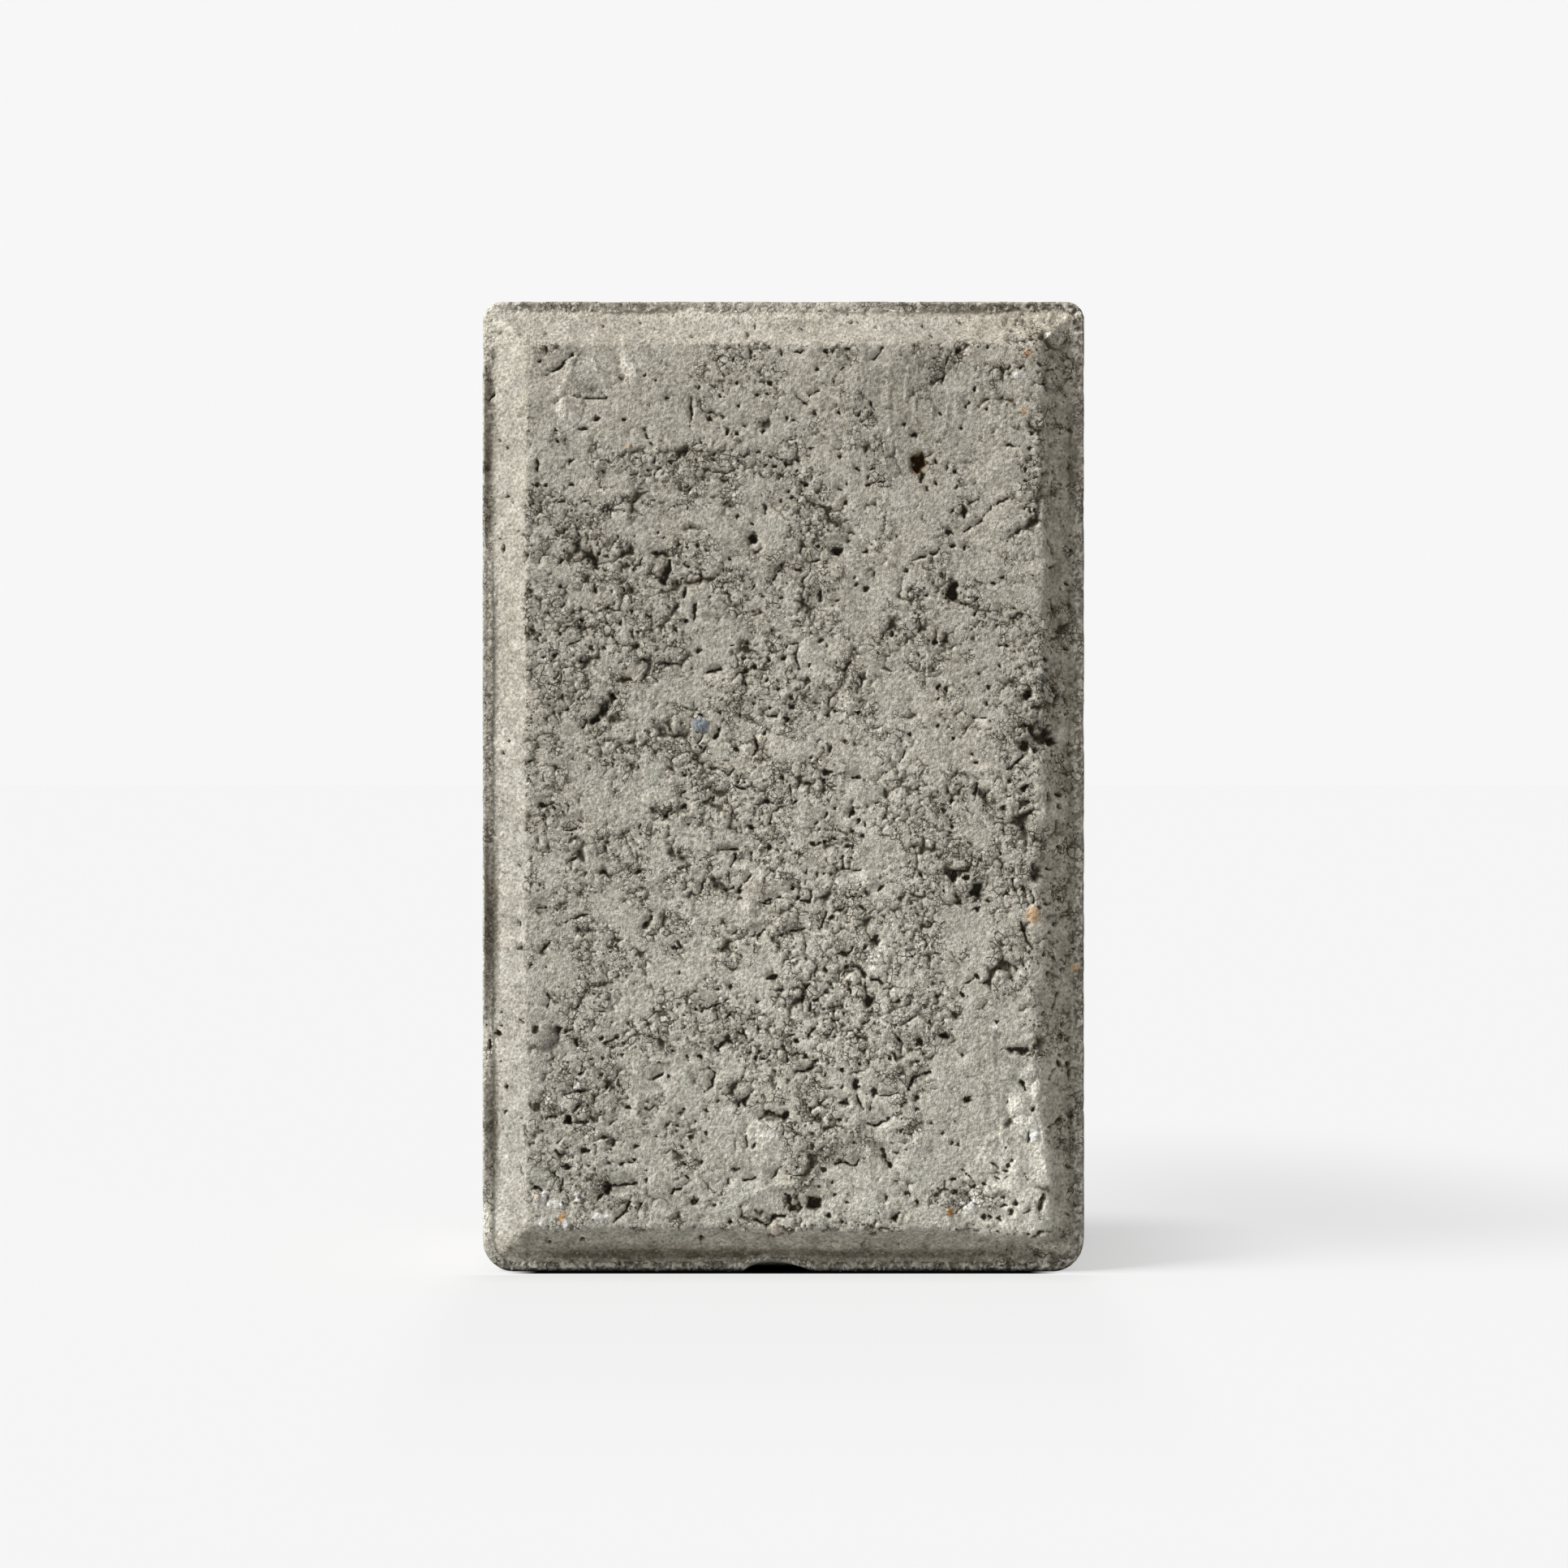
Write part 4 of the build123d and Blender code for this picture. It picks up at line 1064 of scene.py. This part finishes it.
def paver_surface():
    """The closed surface with all its relief: points, quads, triangles, and the finish at each point."""
    shell, front, rim_level = smooth_shell(edge_distances(HALF_WIDTH), edge_distances(LENGTH / 2))
    co, quads, triangles = np.concatenate(shell.sheets), np.concatenate(shell.quads), shell.triangles
    chip_away(co)
    normals = outward(co, quads, triangles)

    count = front.x.size
    front_open = front_relief(front)
    body = co[count:].astype(np.float32)
    body_depth, body_open, body_cavity_shade = side_relief(body)
    fade = ramp(0, 0.9, body[:, 1] - rim_level)
    sharp = co.astype(np.float32)
    wear = layers(sharp, (0.09, 6, 171), (0.06, 1.9, 172), (0.03, 0.8, 173), start=0.04)
    wear = (wear - 0.05 * ramp(-0.9, -1, co[:, 0] / HALF_WIDTH)) * ramp(0, 3, co[:, 2])
    at_rim = np.concatenate([ramp(0.7, 0, front.edge).ravel(), 1 - fade])
    depth = np.concatenate([front.depth.ravel(), body_depth * fade]) + np.maximum(wear, 0) * at_rim
    depth[count:] = np.maximum(depth[count:], 0)
    co = co - normals * depth[:, None]
    co[:count, 1] += (FACE_RECESS * ramp(0, 0.8, front.edge)).ravel()
    co = np.clip(co, LOW, HIGH)
    shade = layers(body, (0.06, 18, 181), (0.06, 5, 182), start=1) + 0.04 * body_open
    tint = np.concatenate([front.tint.reshape(-1, 3), shade[:, None] * BASE])
    # Painted contact shadow along the foot of every side, darkest at the floor.
    foot = ramp(FOOT_SHADE_HEIGHT, 0.45 * FOOT_SHADE_HEIGHT, co[:, 2])[:, None]
    finish = {
        "tint": tint * (1 - FOOT_SHADE * foot),
        "open": np.concatenate([front_open.ravel(), body_open * fade + 0.4 * (1 - fade)]),
        "cavity_shade": np.concatenate([front.cavity_shade.ravel(), body_cavity_shade * fade]),
    }
    return co, quads, triangles, finish


def mesh_from(name, co, quads, triangles, finish):
    """A Blender mesh in metres, with its finish as point attributes."""
    mesh = bpy.data.meshes.new(name)
    corners = np.concatenate([quads.ravel(), triangles.ravel()]).astype(np.int32)
    sizes = np.repeat([4, 3], [len(quads), len(triangles)]).astype(np.int32)
    mesh.vertices.add(len(co))
    mesh.vertices.foreach_set("co", (co * MM).astype(np.float32).ravel())
    mesh.loops.add(len(corners))
    mesh.loops.foreach_set("vertex_index", corners)
    mesh.polygons.add(len(sizes))
    mesh.polygons.foreach_set("loop_start", (np.cumsum(sizes) - sizes).astype(np.int32))
    mesh.update(calc_edges=True)
    tint = mesh.attributes.new("tint", "FLOAT_COLOR", "POINT")
    colours = np.concatenate([np.clip(finish["tint"], 0, 1), np.ones((len(co), 1))], -1)
    tint.data.foreach_set("color", colours.astype(np.float32).ravel())
    for key in ("open", "cavity_shade"):
        values = mesh.attributes.new(key, "FLOAT", "POINT").data
        values.foreach_set("value", finish[key].astype(np.float32))
    return mesh


def make_paver():
    """The dressed paver: the full relief, thinned to the fewest triangles that keep it."""
    co, quads, triangles, finish = paver_surface()
    mesh = mesh_from("paver_relief", co, quads, triangles, finish)
    paver = bpy.data.objects.new("paver_concrete", mesh)
    bpy.context.scene.collection.objects.link(paver)
    thin = paver.modifiers.new("thin", "DECIMATE")
    thin.ratio = TRIANGLES / (2 * len(quads) + len(triangles))
    thinned = paver.evaluated_get(bpy.context.evaluated_depsgraph_get())
    kept = bpy.data.meshes.new_from_object(thinned)
    paver.modifiers.clear()
    paver.data = kept
    kept.name = "paver_concrete"
    bpy.data.meshes.remove(mesh)
    places = np.empty(3 * len(kept.vertices), np.float32)
    kept.vertices.foreach_get("co", places)
    places = np.clip(places.reshape(-1, 3), LOW * MM, HIGH * MM)
    kept.vertices.foreach_set("co", places.astype(np.float32).ravel())
    kept.polygons.foreach_set("use_smooth", np.ones(len(kept.polygons), bool))
    kept.set_sharp_from_angle(angle=math.radians(SHARP_ANGLE))
    return paver


class Nodes:
    """A small helper that adds nodes and joins them."""

    def __init__(self, tree):
        self.tree = tree
        tree.nodes.clear()

    def add(self, kind, settings=(), **inputs):
        """Adds a node. An input is named, with _ for a space, or numbered, as _0."""
        node = self.tree.nodes.new("ShaderNode" + kind)
        for key, value in dict(settings).items():
            setattr(node, key, value)
        for key, value in inputs.items():
            socket = node.inputs[int(key[1:]) if key[0] == "_" else key.replace("_", " ")]
            if isinstance(value, bpy.types.NodeSocket):
                self.tree.links.new(value, socket)
            else:
                socket.default_value = value
        return node

    def math(self, operation, *values):
        inputs = {f"_{i}": value for i, value in enumerate(values)}
        return self.add("Math", {"operation": operation}, **inputs).outputs[0]

    def vector(self, operation, *values, output=0, **inputs):
        inputs.update({f"_{i}": value for i, value in enumerate(values)})
        return self.add("VectorMath", {"operation": operation}, **inputs).outputs[output]

    def ramp(self, value, low, high, to_low=0.0, to_high=1.0):
        numbers = {"From_Min": low, "From_Max": high, "To_Min": to_low, "To_Max": to_high}
        settings = {"interpolation_type": "SMOOTHSTEP"}
        return self.add("MapRange", settings, Value=value, **numbers).outputs[0]

    def mix(self, share, a, b, blend="MIX"):
        settings = {"data_type": "RGBA", "blend_type": blend}
        return self.add("Mix", settings, _0=share, _6=a, _7=b).outputs[2]

    def split(self, colour):
        return self.add("SeparateColor", _0=colour).outputs

    def attribute(self, name, output="Fac"):
        return self.add("Attribute", {"attribute_name": name}).outputs[output]


# The concrete's finish. Scales are per millimetre, and heights are in millimetres.
GRAIN_SCALE = 1.9
KNOB_SCALE = 0.95
BLOTCH_SCALE = 0.13
FLECK_SCALE = 2.4
WARP_SCALE = 1.3
WARP = 0.35
PORE_SCALE = 1.35
PORE_RADIUS = 0.34
CRACKS = ((0.8, 0.3), (1.5, 0.45))
CRACK_WIDTH = 0.075
GRAIN_TONE = 1.7
BLOTCH_TONE = 0.35
FLECK_TONE = 0.4
# Painted shade: how far it darkens the colour, and its share in the fine pores and cracks.
CAVITY_SHADE_STRENGTH = 0.88
FINE_SHADE_STRENGTH = 0.9
FLECK_RANGE = (0.93, 0.97)
SOIL = (0.3, 0.24, 0.17, 1)
PALE = (0.62, 0.6, 0.54, 1)
GRAIN_HEIGHT = 0.3
KNOB_HEIGHT = 0.08
OPEN_KNOB_HEIGHT = 0.1
CRACK_DEPTH = 0.14
ROUGHNESS = 0.92
SPECULAR = 0.2


def concrete():
    """Sand and cement: grains, micro pores, blotches and painted shade in hollows, pores and cracks over
    the painted attributes.
    """
    material = bpy.data.materials.new("concrete")
    material.use_nodes = True
    n = Nodes(material.node_tree)
    place = n.add("TexCoord").outputs["Object"]
    mm = n.vector("SCALE", place, Scale=1 / MM)
    openness = n.attribute("open")
    cavity_shade = n.attribute("cavity_shade")
    tint = n.attribute("tint", "Color")

    def cloud(scale, detail, rough=0.5):
        """Noise from 0 to 1, of a scale and a detail."""
        node = n.add("TexNoise", Vector=mm, Scale=scale, Detail=detail, Roughness=rough)
        return node.outputs["Fac"]

    def about(value, strength, around):
        """A value from 0 to 1, made to swing by a strength about another."""
        return n.math("MULTIPLY_ADD", n.math("SUBTRACT", value, 0.5), strength, around)

    def crack_lines(scale, patch):
        """The distance to a net of lines, more where the patches leave none."""
        missing = n.ramp(cloud(patch, 1.0), 0.42, 0.62, 1.0, 0.0)
        edges = {"feature": "DISTANCE_TO_EDGE"}
        net = n.add("TexVoronoi", edges, Vector=warped, Scale=scale).outputs["Distance"]
        return n.math("MULTIPLY_ADD", missing, 0.5, net)

    grain = cloud(GRAIN_SCALE, 2.0, 0.65)
    knob = cloud(KNOB_SCALE, 2.0)
    blotch = cloud(BLOTCH_SCALE, 3.0)
    fleck = n.split(n.add("TexVoronoi", Vector=mm, Scale=FLECK_SCALE).outputs["Color"])
    warp = n.add("TexNoise", Vector=mm, Scale=WARP_SCALE).outputs["Color"]
    warped = n.mix(WARP, mm, warp, "ADD")
    pores = n.add("TexVoronoi", Vector=warped, Scale=PORE_SCALE)
    wanted = n.math("MULTIPLY_ADD", openness, 0.5, 0.14)
    spare = n.math("SUBTRACT", wanted, n.split(pores.outputs["Color"])[0])
    radius = n.math("MULTIPLY", n.ramp(spare, 0.0, 0.6), PORE_RADIUS)
    reach = n.math("DIVIDE", pores.outputs["Distance"], n.math("MAXIMUM", radius, 0.001))
    pore = n.ramp(reach, 1.1, 0.5)
    lines = n.math("MINIMUM", *(crack_lines(*row) for row in CRACKS))
    crack = n.math("MULTIPLY", n.ramp(lines, CRACK_WIDTH, 0.02), n.ramp(openness, 0.15, 0.6))

    tone = about(fleck[0], FLECK_TONE, about(grain, GRAIN_TONE, about(blotch, BLOTCH_TONE, 1.0)))
    # Painted shade in the hollows, pores and cracks darkens the colour.
    shade_in_hollows = n.math("MAXIMUM", cavity_shade, n.math("MULTIPLY", pore, FINE_SHADE_STRENGTH))
    shade_in_hollows = n.math("MAXIMUM", shade_in_hollows, n.math("MULTIPLY", crack, FINE_SHADE_STRENGTH))
    shade = n.math("MULTIPLY", tone, n.math("MULTIPLY_ADD", shade_in_hollows, -CAVITY_SHADE_STRENGTH, 1.0))
    # Darker colour, the painted shade among it, turns warmer.
    warmer_shade = {f"_{i}": n.math("POWER", shade, power) for i, power in enumerate((1.0, 1.05, 1.15))}
    colour = n.mix(1.0, tint, n.add("CombineColor", **warmer_shade).outputs[0], "MULTIPLY")
    for number, share, fleck_colour in ((1, 0.35, SOIL), (2, 0.4, PALE)):
        spots = n.math("MULTIPLY", n.ramp(fleck[number], *FLECK_RANGE), share)
        colour = n.mix(spots, colour, fleck_colour)

    height = n.math("MULTIPLY", grain, GRAIN_HEIGHT)
    knob_height = n.math("MULTIPLY_ADD", openness, OPEN_KNOB_HEIGHT, KNOB_HEIGHT)
    height = n.math("MULTIPLY_ADD", knob, knob_height, height)
    height = n.math("MULTIPLY_ADD", pore, n.math("MULTIPLY", radius, -1.0), height)
    height = n.math("MULTIPLY_ADD", crack, -CRACK_DEPTH, height)
    bump = n.add("Bump", Height=height, Distance=MM, Strength=1.0).outputs[0]
    shader = n.add("BsdfPrincipled", Base_Color=colour, Roughness=ROUGHNESS, Normal=bump)
    shader.inputs["Specular IOR Level"].default_value = SPECULAR
    n.add("OutputMaterial", Surface=shader.outputs[0])
    return material


# Light: a broad key from the upper left, a little in front, and an even fill.
KEY_TRAVEL = (0.73, 0.33, -0.60)
KEY_STRENGTH = 1.2 * math.pi
KEY_SPREAD = 34
FILL = 0.304
BACKDROP = 0.93

# The floor as the camera sees it: its level, the share of the shadow that it keeps near the paver
# and far off, a painted black contact shadow where they touch, and painted soft shadows in front and
# behind.
FLOOR_SIZE = 800.0
FLOOR_TONE = 0.46
FLOOR_LEVEL = 0.915
FLOOR_LIGHT = 1.03
SHADOW_NEAR = 0.37
SHADOW_FAR = 0.11
SHADOW_FADE = (2.0, 50.0)
# Painted contact shadow: its spread in mm, the half sizes of the rectangle it keeps to, and how it tapers
# across.
CONTACT_SHADOW = (0.0, 1.1)
CONTACT_SHADOW_HALF = (40.0, 28.2)
CONTACT_SHADOW_TAPER = 0.2
# Painted soft shadows on the floor: a patch behind the paver to the right, by middle, reach and depth, and
# dips in front, by reach and depth, fading over a width beyond the sides.
SHADOW_PATCH_MIDDLE = (90.0, 110.0)
SHADOW_PATCH_REACH = (90.0, 160.0)
SHADOW_PATCH_DEPTH = 0.1
FRONT_SHADOW_DIPS = ((14.0, 0.055), (220.0, 0.045))
FRONT_SHADOW_SIDES = 14.0


def seen_directly(n):
    """1 for rays that show the background as it is: camera, glossy and transmission rays."""
    path = n.add("LightPath").outputs
    bounced = n.math("MAXIMUM", path["Is Glossy Ray"], path["Is Transmission Ray"])
    return n.math("MAXIMUM", path["Is Camera Ray"], bounced)


def floor_material():
    """A matt floor, shown at a painted level with the paver's own shadow and with painted shadows: a black
    line where it meets the paver, a soft one in front and a soft patch behind.
    """
    material = bpy.data.materials.new("floor")
    material.use_nodes = True
    n = Nodes(material.node_tree)
    place = n.add("TexCoord").outputs["Object"]
    in_mm = n.vector("SCALE", place, Scale=1 / MM)

    def outside(half_x, half_y):
        """How far the floor lies outside a rectangle round the origin, across and along."""
        beyond = n.vector("SUBTRACT", n.vector("ABSOLUTE", in_mm), (half_x, half_y, 0.0))
        return n.vector("MAXIMUM", beyond, (0.0, 0.0, 0.0))

    def length(vector):
        return n.vector("LENGTH", vector, output="Value")

    beyond = outside(HALF_WIDTH - LOWER_RADIUS, BED)
    away = length(beyond)
    # Painted contact shadow: the floor turns black where it meets the paver.
    contact_shadow_reach = n.vector("MULTIPLY", outside(*CONTACT_SHADOW_HALF), (CONTACT_SHADOW_TAPER, 1.0, 0.0))
    clear = n.ramp(length(contact_shadow_reach), *CONTACT_SHADOW)
    shadow = n.math("MULTIPLY", n.ramp(away, *SHADOW_FADE, SHADOW_NEAR, SHADOW_FAR), clear)
    direct = seen_directly(n)
    tone = n.math("MULTIPLY_ADD", direct, n.math("SUBTRACT", shadow, FLOOR_TONE), FLOOR_TONE)
    grey = n.add("CombineColor", _0=tone, _1=tone, _2=tone).outputs[0]
    matt = n.add("BsdfDiffuse", Color=grey).outputs[0]

    # Painted soft shadow on the floor just in front of the paver.
    sideways = n.add("SeparateXYZ", _0=beyond).outputs["X"]
    forward = n.add("SeparateXYZ", _0=in_mm).outputs["Y"]
    in_front = n.math(
        "MULTIPLY", n.ramp(forward, -BED, -BED - 1), n.ramp(sideways, 0.0, FRONT_SHADOW_SIDES, 1.0, 0.0)
    )
    front_shadow_dips = (n.ramp(away, 0.0, reach, drop, 0.0) for reach, drop in FRONT_SHADOW_DIPS)
    painted_floor_shadow = n.math("MULTIPLY", n.math("ADD", *front_shadow_dips), in_front)
    # A painted soft shadow on the floor behind the paver, to the right.
    scale = [1 / (reach * MM) for reach in SHADOW_PATCH_REACH] + [0.0]
    start = [-middle / reach for middle, reach in zip(SHADOW_PATCH_MIDDLE, SHADOW_PATCH_REACH)] + [0.0]
    spot = n.vector("MULTIPLY_ADD", place, scale, start)
    painted_floor_shadow = n.math("ADD", painted_floor_shadow, n.ramp(length(spot), 0.0, 1.0, SHADOW_PATCH_DEPTH, 0.0))
    level = n.math("MULTIPLY", n.math("SUBTRACT", FLOOR_LEVEL, painted_floor_shadow), clear)
    level = n.math("MULTIPLY_ADD", shadow, -FLOOR_LIGHT, level)
    glow = n.add("Emission", Strength=n.math("MULTIPLY", direct, level)).outputs[0]
    both = n.add("AddShader", _0=matt, _1=glow).outputs[0]
    n.add("OutputMaterial", Surface=both)
    return material


def make_stage():
    """The pale floor, the backdrop and the light."""
    bpy.ops.mesh.primitive_plane_add(size=FLOOR_SIZE)
    floor = bpy.context.object
    floor.name = "floor"
    floor.data.materials.append(floor_material())

    world = bpy.data.worlds.new("studio")
    bpy.context.scene.world = world
    world.use_nodes = True
    n = Nodes(world.node_tree)
    level = n.math("MULTIPLY_ADD", seen_directly(n), BACKDROP - FILL, FILL)
    sky = n.add("Background", Color=(1, 1, 1, 1), Strength=level)
    n.add("OutputWorld", Surface=sky.outputs[0])

    key = bpy.data.lights.new("key", "SUN")
    key.energy = KEY_STRENGTH
    key.angle = math.radians(KEY_SPREAD)
    lamp = bpy.data.objects.new("key", key)
    lamp.rotation_mode = "QUATERNION"
    lamp.rotation_quaternion = Vector(KEY_TRAVEL).to_track_quat("-Z", "Y")
    bpy.context.scene.collection.objects.link(lamp)


def make_camera():
    """The camera that takes the photograph's view."""
    data = bpy.data.cameras.new("camera")
    data.sensor_width = SENSOR_WIDTH
    data.lens = SENSOR_WIDTH * CAMERA_GAP * PIXELS_PER_MM / PHOTO_SIZE
    data.clip_start = CLIP_START
    data.clip_end = 2 * FLOOR_SIZE
    camera = bpy.data.objects.new("camera", data)
    offset = (PHOTO_MIDDLE_Y - PHOTO_MIDDLE_X) / PIXELS_PER_MM
    camera.location = (offset * MM, (FACE - CAMERA_GAP) * MM, CAMERA_HEIGHT * MM)
    camera.rotation_euler = (math.pi / 2, 0, 0)
    bpy.context.scene.collection.objects.link(camera)
    bpy.context.scene.camera = camera


paver = make_paver()
paver.data.materials.append(concrete())
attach(paver, "root")
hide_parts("paver")
make_stage()
make_camera()
bpy.context.scene.view_settings.view_transform = "Standard"
